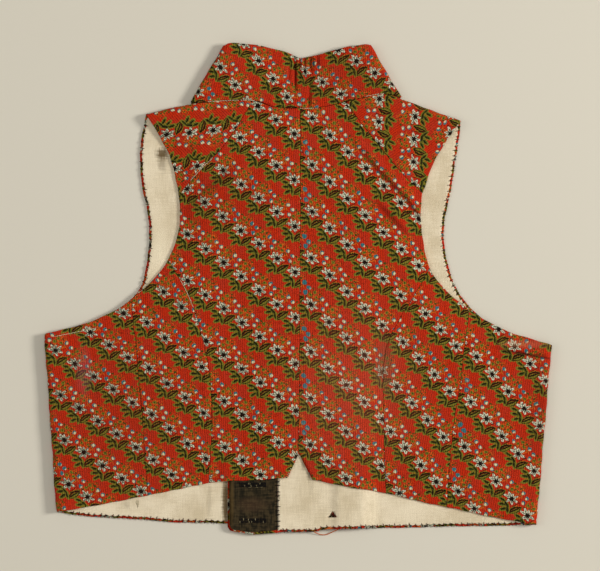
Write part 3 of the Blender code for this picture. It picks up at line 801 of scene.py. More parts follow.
def print_ground(paint):
    tone = paint.noise(paint.map, 2.2, 3.0)
    paint.ground = paint.mix(paint.edge(tone, 0.5, 0.14), RED, CRIMSON)
    paint.lay(paint.noise(paint.place, 1300.0, 1.0), 0.43, 0.06, SHADE)
    above = paint.chart(2.5, 9.0, 2.0)
    inside = paint.edge(paint.nearest(above, [SPECKS]), 0.85, 0.2)
    second = paint.noise(paint.place, 1100.0, 0.0)
    paint.lay(second, 0.41, 0.04, ORANGE, inside)
    paint.lay(paint.grain, 0.41, 0.03, GREEN, inside)
    paint.lay(paint.nearest(above, RINGS), 1.0, 0.1, OLIVE)
    paint.lay(paint.nearest(above, [moved(row, 0.3, 0.5, 0.5) for row in RINGS]), 0.9, 0.1, GREEN)
    paint.lay(paint.nearest(above, DOTS), 1.0, 0.12, GREEN)


def print_leaves(paint):
    right = paint.chart(4.0, -8.0)
    paint.lay(paint.nearest(right, VEINS), 0.9, 0.3, ORANGE)
    paint.lay(paint.nearest(right, [BRANCH]), 0.9, 0.25, BROWN)
    leaf = paint.node("SeparateXYZ", {0: paint.local(right, LEAF)})
    along, across = leaf.outputs[0], leaf.outputs[1]
    inset = paint.sum("MULTIPLY", along, along)
    inset = paint.sum("MULTIPLY_ADD", paint.ragged, 0.7, inset)
    form = paint.sum("ADD", inset, paint.sum("ABSOLUTE", across))
    lower = paint.sum("ADD", inset, paint.sum("ABSOLUTE", paint.sum("ADD", across, 0.16)))
    midrib = paint.sum("MULTIPLY_ADD", paint.sum("ABSOLUTE", across), 4.0, inset)
    paint.lay(form, 1.06, 0.08, OLIVE)
    paint.lay(form, 0.9, 0.08, BLACK)
    paint.lay(form, 0.52, 0.1, BROWN)
    paint.lay(lower, 0.52, 0.08, OLIVE)
    paint.lay(midrib, 0.8, 0.12, BLACK)
    left = paint.chart(-6.5, -7.5)
    form = paint.nearest(left, LEAFLETS)
    paint.lay(form, 1.4, 0.14, OLIVE)
    paint.lay(form, 0.84, 0.14, GREEN)
    strokes = paint.nearest(left, [moved(row, 0.35, 0.85, 0.42) for row in LEAFLETS])
    paint.lay(strokes, 0.95, 0.12, BLACK)


# %% Star and berries
def print_star(paint):
    star = paint.chart(-1.0, 0.5)
    form = paint.nearest(star, PETALS)
    paint.lay(form, 1.3, 0.14, BLACK, paint.edge(paint.grain, 0.47, 0.06))
    paint.lay(form, 1.0, 0.1, GREY)
    fewer_left = paint.vector("DOT_PRODUCT", paint.place, (-0.18, 0.0, 0.0))
    speck = paint.edge(paint.sum("ADD", paint.grain, fewer_left), 0.53, 0.05)
    rim = paint.sum("ABSOLUTE", paint.sum("SUBTRACT", form, 0.66))
    paint.lay(rim, 0.3, 0.12, WHITE, speck)
    paint.lay(paint.nearest(star, STAR), 1.0, 0.1, BLACK)
    berries = paint.chart(11.3, 2.4)
    form = paint.nearest(berries, BERRIES)
    blue = paint.sum("MAXIMUM", *(paint.patch(*place) for place in BLUE_PLACES))
    paint.lay(paint.sum("MULTIPLY_ADD", blue, -0.25, form), 1.0, 0.1, TEAL)
    drift = paint.node("TexNoise", {"Vector": paint.map, "Scale": 0.35, "Detail": 0.0})
    drift = paint.vector("SUBTRACT", drift.outputs["Color"], (0.42, 0.62, 0.5))
    shifted = paint.vector("MULTIPLY_ADD", drift, (-6.0, -6.0, 0.0), berries)
    light = [(x, y, turn, 1.5, 1.4) for x, y, turn, _, _ in BERRIES]
    cream = paint.sum("MULTIPLY", paint.edge(form, 1.0, 0.1), paint.sum("SUBTRACT", 1.0, blue))
    paint.lay(paint.nearest(shifted, light), 0.95, 0.12, CREAM, cream)


# Where the berries are blue all over: beside the centre seam and by the right side seam
BLUE_PLACES = (((6.0, -10.0, 0.0), (7.0, 220.0, DEEP)), ((156.0, -125.0, 0.0), (11.0, 62.0, DEEP)))

# %% [markdown]
# The weave lies over the print: ribs that run down the cloth, with finer threads across them. The grooves
# between the ribs are painted darker, as shade.

# %% Weave
RIBS_A_REPEAT, THREADS_A_REPEAT = 8.2, 49.0
GROOVE_SHADE = rgb(60, 18, 8)


def weave(paint):
    ribs = paint.vector("DOT_PRODUCT", paint.map, (RIBS_A_REPEAT * 2.0 * np.pi, 0.0, 0.0))
    threads = paint.vector("DOT_PRODUCT", paint.map, (0.0, THREADS_A_REPEAT * 2.0 * np.pi, 0.0))
    height = paint.sum("MULTIPLY_ADD", paint.sum("SINE", threads), 0.35, paint.sum("SINE", ribs))
    height = paint.sum("MULTIPLY_ADD", paint.ragged, 2.0, height)
    paint.bump(height, 0.5, 0.00025)
    # Painted shade: the grooves between the ribs are darkened, as if shade lay in them
    shade = paint.node("MapRange", {0: height, 1: -1.8, 2: 1.2, 3: 0.42, 4: 0.0}).outputs[0]
    paint.ground = paint.mix(shade, paint.ground, GROOVE_SHADE)


# %% [markdown]
# Wear, painted shade and painted light are laid over the whole print. The cloth is painted darker in the
# bottom of a crease, as shade, and almost black, as painted shadow, where it is seen through the rip in
# the linen.

# %% Worn places, painted shade and painted light
# Columns: x, y, half width, half height, strength, colour
PRINT_STAINS_AND_LIGHT = (
    (83.0, -74.0, 9.0, 24.0, 0.5, rgb(116, 84, 58)),
    (-203.0, -80.0, 7.0, 22.0, 0.28, rgb(170, 104, 104)),
    # Painted highlight: paler along the top of the crease at the right corner
    (216.0, -53.0, 22.0, 3.6, 0.3, rgb(206, 132, 96)),
)
SHADE_BROWN = rgb(80, 26, 14)
# Broad painted shade: darker at the lower left, at the upper left of the back, at the collar and along
# the right side edge. The second row is painted light, paler in the middle right.
PAINTED_SHADE_AND_LIGHT = (
    (-165.0, -115.0, 46.0, 62.0, 0.16, rgb(96, 34, 16)),
    (52.0, -96.0, 44.0, 58.0, 0.12, rgb(232, 132, 100)),
    (-80.0, 92.0, 26.0, 22.0, 0.18, SHADE_BROWN),
    (46.0, 200.0, 36.0, 22.0, 0.16, SHADE_BROWN),
    (232.0, -120.0, 9.0, 44.0, 0.28, SHADE_BROWN),
)
# Painted shade: the cloth seen through the rip in the linen is darkened almost to black
PAINTED_RIP_SHADE = ((33.0, -217.0, FRONT_WALL + OVERLAP_LIFT), (6.5, 3.7, 3.0), rgb(10, 8, 5), 0.98)
FOLD_SHADE_COLOUR, FOLD_SOFT, SHADE_SOFT = rgb(48, 12, 6), 0.9, 1.2

# Painted shade along folds, creases and the collar's puckers
# Columns: from x, from y, to x, to y, half width, strength
PAINTED_FOLD_SHADE = (
    (194.0, -58.2, 241.0, -67.2, 1.3, 0.95),
    (56.0, 137.0, 74.0, 115.0, 2.0, 0.4),
    (70.0, 119.0, 106.0, 82.0, 2.2, 0.62),
    (102.0, 86.0, 118.0, 66.0, 2.0, 0.55),
    (76.0, 82.0, 102.0, 54.0, 2.2, 0.5),
    (-102.0, 79.0, -59.0, 117.0, 4.0, 0.2),
    (-1.7, 213.0, -1.7, 193.0, 1.0, 0.75),
    (7.1, 221.0, 7.1, 212.0, 0.9, 0.7),
    (11.8, 219.0, 11.8, 208.0, 0.9, 0.8),
    (15.8, 219.0, 15.8, 209.0, 0.9, 0.65),
    (20.6, 220.0, 20.6, 211.0, 0.9, 0.5),
    (11.0, 184.0, 11.0, 172.0, 1.0, 0.55),
)
print("shaded places", len(PRINT_STAINS_AND_LIGHT) + len(PAINTED_SHADE_AND_LIGHT) + len(PAINTED_FOLD_SHADE) + 1)

# %% Print the cloth
printed = Sprigs("printed_cloth")
print_ground(printed)
print_leaves(printed)
print_star(printed)
stained_or_shaded(printed, PRINT_STAINS_AND_LIGHT)
printed.stain_or_shade(*PAINTED_RIP_SHADE)
stained_or_shaded(printed, PAINTED_SHADE_AND_LIGHT, SHADE_SOFT)
# Each fold's painted shade is a long soft oval turned along the fold
for x0, y0, x1, y1, half, strength in PAINTED_FOLD_SHADE:
    middle = (0.5 * (x0 + x1), 0.5 * (y0 + y1), 0.0)
    reach = 0.5 * np.hypot(x1 - x0, y1 - y0)
    turn = np.arctan2(y1 - y0, x1 - x0)
    printed.stain_or_shade(middle, (reach, half, DEEP), FOLD_SHADE_COLOUR, strength, FOLD_SOFT, turn)
weave(printed)
printed.colour(printed.ground)
PRINT = (printed.material, "print")
print("print nodes", len(printed.tree.nodes))

# %% [markdown]
# ## The back
#
# Four panels: two beside the centre seam, and two curved ones below the armholes.


# %% Back panels
def back_place(p, depth):
    return np.column_stack([p, top_height(p) - depth])


def towards_side(side):
    return np.array(((2 * side - 1) * 400.0, 0.0))


def back(side, name):
    centre = moved_in(curve(CENTRE_SEAM), JOIN, towards_side(side))
    neck = moved_in(curve(side_of(NECK_SEAM, side)[2:])[::-1], JOIN, MIDDLE)
    neck[0, 0] = centre[0, 0]
    shoulder = moved_in(drawn(SHOULDER_SEAM, side), JOIN, np.array((0.0, 40.0)))
    arm = span(BACK_ARMHOLE, side, 3, 5)
    seam = moved_in(drawn(PANEL_SEAM, side), JOIN, MIDDLE)
    hem = np.vstack([span(BACK_HEM, side, 3, 5), side_of(BACK_HEM, side)[-1:]])
    outline = np.vstack([neck[:-1], shoulder, arm, seam, hem, centre[:0:-1]])
    wall(name, [outline], BACK_WALL, back_place, lambda p: repeats(p, name), PRINT)


def side_back(side, name):
    arm = span(BACK_ARMHOLE, side, 5, 7)
    seam = moved_in(drawn(SIDE_SEAM, side), JOIN, MIDDLE)
    hem = span(BACK_HEM, side, 2, 3)[::-1]
    inner = moved_in(drawn(PANEL_SEAM, side), JOIN, towards_side(side))
    outline = np.vstack([inner, hem, seam[::-1], arm[::-1]])
    wall(name, [outline], BACK_WALL, back_place, lambda p: repeats(p, name), PRINT)


for side, end in enumerate(("left", "right")):
    back(side, f"back_{end}")
    side_back(side, f"side_back_{end}")

# %% [markdown]
# ## The fronts
#
# Only their sides and shoulders show, folded over to the seams of the back. The rest lies
# underneath, so its triangles can be large.


# %% The outline of a front
def front_lift(p, side):
    return ridge(p) + (overlap_lift(p) if side == 1 else 0.0)


def front_outline(side, fold_side, fold_shoulder):
    edge = OVERLAP if side == 0 else -OVERLAP
    hem = drawn(FRONT_HEM, side)
    last = [(edge, hem[-1, 1])] if side == 0 else [(edge + 2.2, -230.4), (edge, -226.8)]
    neck = moved_in(drawn(NECKLINE, side)[1:], JOIN, MIDDLE)[::-1]
    under = np.vstack([hem, last, [(edge, FRONT_TOP_Y)], neck])
    under = fold_shoulder.cut(fold_side.cut(under, False), False)

    seam_top = curve(side_of(NECK_SEAM, side)[:3])
    joined = drawn(SHOULDER_SEAM, side)
    armhole = curve(side_of(BACK_ARMHOLE, side)[:4])
    outer = np.array((1.6 * seam_top[0, 0], joined[-1, 1]))
    shoulder = [moved_in(seam_top, JOIN, MIDDLE)[:-1], moved_in(joined, JOIN, outer)[1:]]
    shoulder = fold_shoulder.cut(np.vstack([*shoulder, armhole[-2::-1]]), True)

    arm = front_arm(side)[1:]
    arm = fold_side.cut(fold_shoulder.cut(arm, False), False)

    seam = drawn(SIDE_SEAM, side)
    top = [drawn(UNDERARM, side)[-2:0:-1]]
    top.append(moved_in(seam, JOIN, np.array((4.0 * seam[0, 0], 0.0))))
    top.append(curve(side_of(BACK_HEM, side)[:3])[-2:0:-1])
    return np.vstack([under, shoulder, arm, fold_side.cut(np.vstack(top), True)])


# %% Folded fronts
def front(side, end):
    fold_side = Fold(side_of(SIDE_FOLD, side), FOLD_RADIUS)
    fold_shoulder = Fold(side_of(SHOULDER_FOLD, side), FOLD_RADIUS, neck=True)

    def place(p, depth):
        placed = np.column_stack([p, depth + front_lift(p, side)])
        for fold in (fold_shoulder, fold_side):
            past = fold.past(p)
            at, height = fold.place(p, depth)
            height = height + (top_height(at) - TOP) * (past > 0.5 * np.pi * FOLD_RADIUS)
            placed[past > 0] = np.column_stack([at, height])[past > 0]
        return placed

    def spacing(p):
        if p is None:
            return FINE
        past = np.maximum(fold_side.past(p), fold_shoulder.past(p))
        return np.where(past > -4.0, FINE, COARSE)

    def map_at(p):
        share = ramp(fold_shoulder.past(p), -75.0, 65.0)
        return meeting(
            p,
            lambda q: repeats(fold_side.seen(q), f"side_{end}"),
            lambda q: repeats(fold_shoulder.seen(q), f"shoulder_{end}"),
            share,
            fold_shoulder.start - 40.0 * fold_shoulder.out,
        )

    outline = front_outline(side, fold_side, fold_shoulder)
    wall(f"front_{end}", [outline], FRONT_WALL, place, map_at, PRINT, spacing)


for side, end in enumerate(("left", "right")):
    front(side, end)

# %% [markdown]
# ## The collar
#
# A stand collar, double and stiff. It lies open behind the neck, and its ends turn under.


# %% Collar
def collar():
    folds = [Fold(side_of(COLLAR_FOLD, s), COLLAR_RADIUS) for s in (0, 1)]
    above = np.array((0.0, 600.0))
    halves = []
    for side, fold in enumerate(folds):
        seam = moved_in(drawn(NECK_SEAM, side), JOIN, above)
        neck = moved_in(drawn(NECKLINE, side), JOIN, above)
        seam, neck = seam[fold.past(seam) < -0.5], neck[fold.past(neck) < -0.5]
        ends = side_of(COLLAR_FOLD, side)
        end = fold.cut(side_of(COLLAR_END, side), True)
        top = drawn(COLLAR_TOP, side)
        turned = [fold.cut(ends[:1], False), fold.cut(neck, True)[:-1], end[::-1]]
        high = fold.cut(top[:1], False)
        halves.append(np.vstack([seam[::-1], *turned, high, top[1:]]))
    outline = np.vstack([halves[0], halves[1][-2:0:-1]])

    def place(p, depth):
        share = np.maximum(0.0, 1.0 - ((p[:, 0] - COLLAR_MIDDLE) / 60.0) ** 2)
        sag = COLLAR_SAG * share * ramp(p[:, 1], *SAG_ABOVE)
        outer = 2.0 * COLLAR_RADIUS - sag + crease(p, COLLAR_CREASES)
        placed = np.column_stack([p, np.maximum(outer, COLLAR_WALL + 0.1) - depth])
        for side, fold in enumerate(folds):
            past = fold.past(p)
            at, height = fold.place(p, depth)
            height = 2.0 * COLLAR_RADIUS - height
            if side == 1:
                height = height + overlap_lift(at) * (past > 2.0 * COLLAR_RADIUS)
            placed[past > 0] = np.column_stack([at, height])[past > 0]
        return placed

    def spacing(p):
        if p is None:
            return EDGE_FINE
        under = np.maximum(folds[0].past(p), folds[1].past(p)) > 16.0
        return np.where(under, COARSE, EDGE_FINE)

    def map_at(p):
        share = ramp(p[:, 0], -3.0, 12.0)
        halves = [lambda q, zone=zone: repeats(q, zone) for zone in ("collar_left", "collar_right")]
        return meeting(p, *halves, share, (COLLAR_MIDDLE, 200.0))

    wall("collar", [outline], COLLAR_WALL, place, map_at, PRINT, spacing)


collar()

# %% [markdown]
# ## Linings, facing and the rip
#
# The linen stops a margin short of the edge, so that the turned edge of the print shows round it.
# The dark facing runs along the edge of the right front, where the buttonholes are.

# %% Linings
ARM_SCALLOP, HEM_SCALLOP, PUFF, PUFF_LENGTH = 4.6, 5.6, 0.35, 4.7
PLAIN_REPEAT, PLAIN_EDGE = 50.0, 0.4
RIP = np.array(((29.6, -217.5), (37.4, -217.4), (36.2, -214.6), (33.4, -211.9), (31.4, -214.3)))


def scalloped(line, step):
    """The linen's edge, drawn in a little by each stitch."""
    along = lengths_along(line)
    by = MARGIN - 0.3 - 0.45 * np.cos(2.0 * np.pi * along / step)
    return line + (moved_in(line, 1.0, MIDDLE) - line) * by[:, None]


def plain_map(p):
    return p / PLAIN_REPEAT


def lining(side, end):
    arm = scalloped(front_arm(side, EDGE_FINE), ARM_SCALLOP)[1:-1]
    hem = drawn(FRONT_HEM, side, EDGE_FINE)
    neck = moved_in(drawn(NECKLINE, side), MARGIN, MIDDLE)[1:]
    edge = OVERLAP - MARGIN if side == 0 else FACING_END + SEAM
    hem = scalloped(hem, HEM_SCALLOP)[1:]
    hem = hem[hem[:, 0] < edge - 0.3] if side == 0 else hem[hem[:, 0] > edge + 0.3]
    hem = np.vstack([hem, (edge, hem[-1, 1])])
    outline = np.vstack([hem, (edge, FRONT_TOP_Y - MARGIN), neck[::-1], arm])
    for fold in (Fold(side_of(t, side), FOLD_RADIUS) for t in (SIDE_FOLD, SHOULDER_FOLD)):
        outline = outline - np.multiply.outer(np.maximum(0.0, fold.past(outline)), fold.out)
    base = FRONT_WALL + SEAM

    def place(p, depth):
        puff = PUFF * (1.0 - ramp(p[:, 0], FACING_END, 3.5)) * np.sin(np.pi * p[:, 1] / PUFF_LENGTH) ** 2
        return np.column_stack([p, base + depth + front_lift(p, side) + puff * side])

    loops = [outline] if side == 0 else [outline, RIP]
    wall(f"lining_front_{end}", loops, LINING_WALL, place, plain_map, LINEN, round_edge=PLAIN_EDGE)


# %% Facing
def facing():
    left, right, top = FACING_EDGE, FACING_END, FRONT_TOP_Y - MARGIN
    corner = [(left, -224.8), (left + 3.0, -229.4)]
    low = curve([*corner, (-50.0, -230.9), (-38.0, -231.7), (right, -229.8)])
    outline = np.vstack([(left, top), low, (right, top)])
    base = FRONT_WALL + SEAM + OVERLAP_LIFT

    def place(p, depth):
        return np.column_stack([p, base + depth])

    wall("facing_right", [outline], LINING_WALL, place, plain_map, FACING, round_edge=PLAIN_EDGE)


lining(0, "left")
lining(1, "right")
facing()

# %% [markdown]
# ## Sewing
#
# Every stitch is a short arch of thread. `strands` makes one mesh of many threads, and `sewn` walks
# along an edge and sets a stitch across it at each step. The steps vary a little, as by hand.


# %% Strands
def strands(name, lines, radius, material):
    rng = np.random.default_rng(5)
    points, faces, sides = [], [], 5
    turn = np.arange(sides) * 2.0 * np.pi / sides
    for line in lines:
        line = np.asarray(line, float)
        along = np.gradient(line, axis=0)
        along /= np.linalg.norm(along, axis=1)[:, None]
        across = np.cross(along, (0.0, 0.0, 1.0))
        across /= np.maximum(np.linalg.norm(across, axis=1), 1e-6)[:, None]
        up = np.cross(across, along)
        thick = radius * rng.uniform(0.85, 1.15) * np.ones(len(line))
        thick[[0, -1]] *= 0.45
        start = len(points)
        for p, a, u, r in zip(line, across, up, thick):
            points.extend(p + r * (a * np.cos(t) + u * np.sin(t)) for t in turn)
        for k in range(len(line) - 1):
            for i in range(sides):
                low, high = start + k * sides, start + (k + 1) * sides
                j = (i + 1) % sides
                faces.append((low + i, low + j, high + j, high + i))
        faces.append(tuple(range(start, start + sides))[::-1])
        faces.append(tuple(range(len(points) - sides, len(points))))
    solid(name, points, faces, material)
    print(name, len(lines), "threads")


# %% Stitches along a line
def marks_on(line, step, rng):
    """Points along a line about a step apart, and the direction along the line at each."""
    length = lengths_along(line)
    at = np.arange(0.5 * step, length[-1], step)
    at = np.clip(at + rng.uniform(-0.22, 0.22, len(at)) * step, 0.0, length[-1] - 0.01)
    point = np.column_stack([np.interp(at, length, line[:, k]) for k in (0, 1)])
    ahead = np.column_stack([np.interp(at + 0.01, length, line[:, k]) for k in (0, 1)])
    along = (ahead - point) / np.linalg.norm(ahead - point, axis=1)[:, None]
    return point, along


def sewn(line, towards, step, profile, height, lean=0.25, seed=3):
    """Stitches across a line. Profile columns: distance inwards, height above the edge."""
    rng = np.random.default_rng(seed)
    points, along = marks_on(line, step, rng)
    across = np.column_stack([-along[:, 1], along[:, 0]])
    across *= np.where((across * (towards - points)).sum(1) > 0, 1.0, -1.0)[:, None]
    made = []
    for p, a, c in zip(points, along, across):
        grow, tilt = rng.uniform(0.8, 1.2), lean + rng.uniform(-0.2, 0.2)
        stitch = []
        for inward, rise in profile:
            at = p + c * inward * grow + a * tilt * max(0.0, inward) * grow
            stitch.append((*at, rise + float(height(at[None])[0])))
        made.append(stitch)
    return made


# %% [markdown]
# The lining is overcast to the turned edge of the print, all round the armholes and hems, and the
# dark facing is whipped down to the linen. Two buttonholes show, worked in black.

# %% Thread colours. Each row: roughness, colour
THREADS = {
    "dark": (0.8, rgb(66, 30, 16)),
    "black": (0.75, rgb(20, 18, 18)),
    "pale": (0.85, rgb(206, 192, 160)),
    "worn": (0.85, rgb(142, 130, 96)),
    "rust": (0.85, rgb(188, 92, 40)),
}
thread = {}
for name, (roughness, colour) in THREADS.items():
    paint = Paint(f"thread_{name}", roughness)
    paint.colour(colour)
    thread[name] = paint.material
print("threads", sorted(thread))

# %% Stitches. Columns: distance inwards, height above the edge
OVERCAST = ((-0.4, 0.5), (0.1, 1.5), (1.3, 1.8), (2.1, 2.8), (3.6, 2.65))
WHIP = ((-1.5, -0.1), (-0.7, 0.45), (0.4, 0.55), (1.9, 0.4), (2.9, -0.15))
HOLE = ((-0.1, 0.1), (0.4, 0.42), (1.5, 0.42), (1.9, 0.05))
HOLE_LEFT, HOLE_RIGHT, HOLES_Y = -55.1, -29.7, (-221.0, -186.8)

# Where the overcast stitches show, and their steps: two numbers are for left and right
ARM_TOP, ARM_END, HEM_FROM, HEM_END = 158.0, 166.0, (66.0, -19.0), 218.0
ARM_STEP, HEM_STEP, WHIP_STEP, HOLE_STEP = (6.8, 4.8), 5.3, 4.7, 0.85


def lift_of(side):
    return lambda p: front_lift(p, side)


def level(height):
    return lambda p: np.full(len(p), height)


overcast = []
for side in (0, 1):
    arm = front_arm(side, last=3)
    arm = arm[(arm[:, 1] < ARM_TOP) & (np.abs(arm[:, 0]) < ARM_END)]
    hem = drawn(FRONT_HEM, side)
    shown = (np.abs(hem[:, 0]) < HEM_END) & (hem[:, 0] * (-1, 1)[side] > HEM_FROM[side])
    overcast += sewn(arm, MIDDLE, ARM_STEP[side], OVERCAST, lift_of(side), seed=3 + side)
    overcast += sewn(hem[shown], MIDDLE, HEM_STEP, OVERCAST, lift_of(side), seed=7 + side)
strands("stitches_overcast", overcast, 0.42, thread["dark"])

# %% Facing stitches and buttonholes
facing_edge = np.array(((FACING_END, -228.0), (FACING_END, -168.0)))
facing_top = FRONT_WALL + SEAM + OVERLAP_LIFT + LINING_WALL
whip = sewn(facing_edge, np.array((400.0, -200.0)), WHIP_STEP, WHIP, level(facing_top), 0.1)
strands("stitches_whip", whip, 0.5, thread["black"])

worked = []
for y in HOLES_Y:
    slit = np.array(((HOLE_LEFT, y), (HOLE_RIGHT, y)))
    for towards in (1.0, -1.0):
        reach = np.array((0.0, y + towards * 500.0))
        worked += sewn(slit + (0.0, towards * 0.25), reach, HOLE_STEP, HOLE, level(facing_top), 0.1, 11)
worn = worked[4::13] + worked[9::31]
black = [stitch for stitch in worked if stitch not in worn]
strands("buttonhole_thread", black, 0.36, thread["black"])

# %% [markdown]
# A few threads are loose or show on their own. Pale ones lie along the seams of the collar, of the
# left shoulder and of the left side back, and at the notch. Worn ones show in the buttonholes and in
# a tuft at the left hem. One is pulled out of the right front's hem beside a small tuft, and short
# ones fray round the rip.


# %% Single threads
def running(line, step, height):
    """Short stitches lying along a seam."""
    rng = np.random.default_rng(17)
    made = []
    for p, a in zip(*marks_on(line, step, rng)):
        a = a * 1.5 * rng.uniform(0.5, 1.2)
        sway = rng.uniform(-0.5, 0.5, 2)
        base = height(p[None])[0] + 0.3
        made.append([(*(p + a * t + sway * t), base - 0.4 * t * t) for t in (-1, 0, 1)])
    return made


def above_seam(p):
    return np.maximum(top_height(p), 2.0 * COLLAR_RADIUS)


# Columns: seam, side, from x, to x, step, height
PALE_SEAMS = (
    (NECK_SEAM, 0, -88.0, -40.0, 2.4, above_seam),
    (NECK_SEAM, 1, -2.0, 20.0, 2.0, above_seam),
    (NECK_SEAM, 1, 64.0, 84.0, 2.6, above_seam),
    (PANEL_SEAM, 0, -112.0, -99.0, 2.2, top_height),
    (SHOULDER_SEAM, 0, -103.0, -80.0, 2.4, top_height),
)
NOTCH_STITCH = ((-1.2, 0.2), (0.0, 0.9), (1.4, 0.4))
pale = []
for table, side, low, high, step, height in PALE_SEAMS:
    seam = drawn(table, side)
    pale += running(seam[(seam[:, 0] > low) & (seam[:, 0] < high)], step, height)
pale += running(np.array(((-232.0, -46.2), (-192.0, -38.0))), 2.3, top_height)
notch = np.array(((-15.0, -180.6), (-9.6, -179.9), (-6.0, -171.0)))
pale += sewn(notch, np.array((-20.0, -150.0)), 2.2, NOTCH_STITCH, lambda p: top_height(p) - 0.6)
strands("threads_pale", pale, 0.3, thread["pale"])

# %% Worn, pulled and frayed threads
for x in (-47.0, -40.0, -36.0):
    start = (x, -189.4 + 0.3 * np.sin(x), facing_top + 0.3)
    worn.append([start, (x + 2.6, -189.2, facing_top + 0.6)])
for k in range(3):
    worn.append([(-153.0 + k, -201.0, 8.0), (-153.4 + k, -204.0 - k, 8.6), (-152.0, -207.0 - k, 7.4)])
strands("threads_worn", worn, 0.3, thread["worn"])

pulled = [(15.0, -231.4), (19.0, -233.4), (23.0, -234.6), (27.6, -234.4), (32.0, -232.4), (39.0, -229.2)]
pulled = curve(pulled, 0.8)
height = 3.4 - 2.9 * np.sin(np.linspace(0.0, np.pi, len(pulled)))
loose = [np.column_stack([pulled, height])]
for k in range(4):
    loose.append([(25.0, -229.6, 4.4), (28.0 + k, -228.6 + 0.7 * k, 5.2), (33.0 + 2 * k, -228.8, 4.6)])
strands("threads_loose", loose, 0.4, thread["rust"])

rng = np.random.default_rng(23)
frayed = []
for a, b in zip(RIP, np.roll(RIP, -1, 0)):
    for t in (0.25, 0.7):
        start = a + (b - a) * t
        end = start + (RIP.mean(0) - start) * rng.uniform(0.35, 0.8) + rng.uniform(-0.5, 0.5, 2)
        frayed.append([(*start, 5.4), (*(0.5 * (start + end)), 5.3), (*end, 4.7)])
strands("threads_frayed", frayed, 0.16, thread["worn"])

# %% [markdown]
# ## Buttons
#
# Nine flat buttons lie under the fronts. A pattern is turned from a cylinder, with a dished face and
# a soft rim. Each button is a copy of its mesh, moved to its own place, and the pattern is removed.

# %% Flat buttons
metal = Paint("button_metal", 0.38, 1.0)
dull = metal.edge(metal.noise(metal.object_place(), 300.0, 4.0), 0.5, 0.2)
metal.colour(metal.mix(dull, rgb(178, 148, 92), rgb(120, 96, 58)))

bpy.ops.object.select_all(action="DESELECT")
bpy.ops.mesh.primitive_cylinder_add(vertices=64, radius=BUTTON_RADIUS * MM, depth=BUTTON_THICK * MM)
pattern = bpy.context.object
# Each inset makes a smaller face inside the last, and the second number sinks it
for inset, dish in ((0.9, 0.0), (0.25, -0.3), (3.4, 0.0), (0.2, -0.15)):
    for face in pattern.data.polygons:
        face.select = abs(face.normal.z) > 0.9 and len(face.vertices) > 4
    bpy.ops.object.mode_set(mode="EDIT")
    bpy.ops.mesh.select_mode(type="FACE")
    bpy.ops.mesh.inset(thickness=inset * MM, depth=dish * MM)
    bpy.ops.object.mode_set(mode="OBJECT")
rim = pattern.modifiers.new("rim", "BEVEL")
rim.width, rim.segments, rim.angle_limit = 0.12 * MM, 2, np.radians(30)
bpy.ops.object.modifier_apply(modifier="rim")
bpy.ops.object.shade_smooth_by_angle(angle=np.radians(35))
pattern.data.materials.append(metal.material)

# %% Nine copies
for number in range(1, BUTTON_COUNT + 1):
    name = f"flat_button_{number}"
    button = bpy.data.objects.new(name, pattern.data.copy())
    at = (BUTTON_X, BUTTON_Y + BUTTON_STEP * (number - 1), 0.5 * BUTTON_THICK)
    button.data.transform(Matrix.Translation(Vector(at) * MM))
    bpy.context.collection.objects.link(button)
    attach(button, "root")
    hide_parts(f"button_{number}")
bpy.data.objects.remove(pattern)
print(BUTTON_COUNT, "buttons")

# %% [markdown]
# ## What the cloth is cut to
#
# The width, length and area of every piece's flat cut are printed, and a table lists what each piece
# rests on.

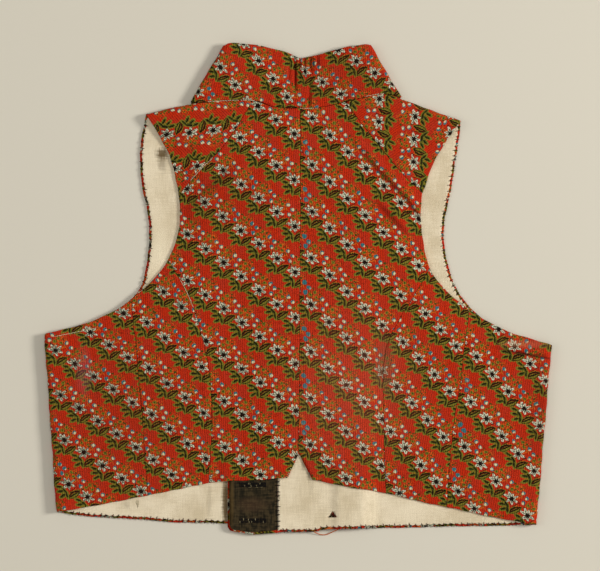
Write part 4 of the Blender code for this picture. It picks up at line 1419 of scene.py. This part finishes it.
# %% Sheets
RESTS_ON = {
    "front_left": [f"flat_button_{number}" for number in range(1, BUTTON_COUNT + 1)],
    "front_right": ["front_left"],
    "lining_front_left": ["front_left"],
    "lining_front_right": ["front_right"],
    "facing_right": ["front_right"],
    "collar": ["front_left", "front_right"],
    "back_left": ["lining_front_left", "lining_front_right", "facing_right"],
    "back_right": ["lining_front_right"],
    "side_back_left": ["lining_front_left"],
    "side_back_right": ["lining_front_right"],
}
for name, under in RESTS_ON.items():
    width, length, area = CUTS[name]
    print(name, round(1000 * width), "x", round(1000 * length), "mm", round(10000 * area), "cm2")

# %% [markdown]
# ## Floor, light and camera
#
# One strong lamp stands low on the right, so that every rib, stitch and fold has a short shadow on
# its left. Two weak ones and a pale sky fill the shadows, and the camera looks straight down.

# %% Floor
floor_paint = Paint("floor", 0.9)
floor_paint.colour(rgb(214, 208, 192))
bpy.ops.object.select_all(action="DESELECT")
bpy.ops.mesh.primitive_plane_add(size=6.0, location=(0.0, 0.0, -0.0005))
floor = bpy.context.object
floor.name = "floor"
floor.data.materials.append(floor_paint.material)
print("floor at", floor.location.z)

# %% Light
world = bpy.data.worlds.new("studio")
world.use_nodes = True
sky = world.node_tree.nodes["Background"]
sky.inputs["Color"].default_value = (1.0, 0.99, 0.97, 1.0)
sky.inputs["Strength"].default_value = 0.28
bpy.context.scene.world = world
bpy.context.scene.view_settings.view_transform = "Standard"

# Columns: name, x, y, z, width in metres, power in watts
LAMPS = (
    ("key", 3.1, 0.5, 1.8, 0.8, 108.0),
    ("top", -0.1, 0.3, 2.2, 1.2, 9.5),
    ("fill", -2.2, 0.2, 1.7, 1.4, 13.0),
)
for name, x, y, z, size, power in LAMPS:
    lamp = bpy.data.lights.new(name, "AREA")
    lamp.size, lamp.energy = size, power
    lamp.color = (1.0, 0.98, 0.95)
    holder = bpy.data.objects.new(name, lamp)
    holder.location = (x, y, z)
    holder.visible_camera = False
    holder.rotation_euler = Vector((x, y, z)).to_track_quat("Z", "Y").to_euler()
    bpy.context.collection.objects.link(holder)
print(len(LAMPS), "lamps")

# %% Camera
camera = bpy.data.cameras.new("camera")
camera.lens, camera.sensor_width = 250.0, 36.0
eye = bpy.data.objects.new("camera", camera)
eye.location = (0.0023, 0.0026, 3.967)
bpy.context.collection.objects.link(eye)
bpy.context.scene.camera = eye
print("lens", camera.lens, "mm")
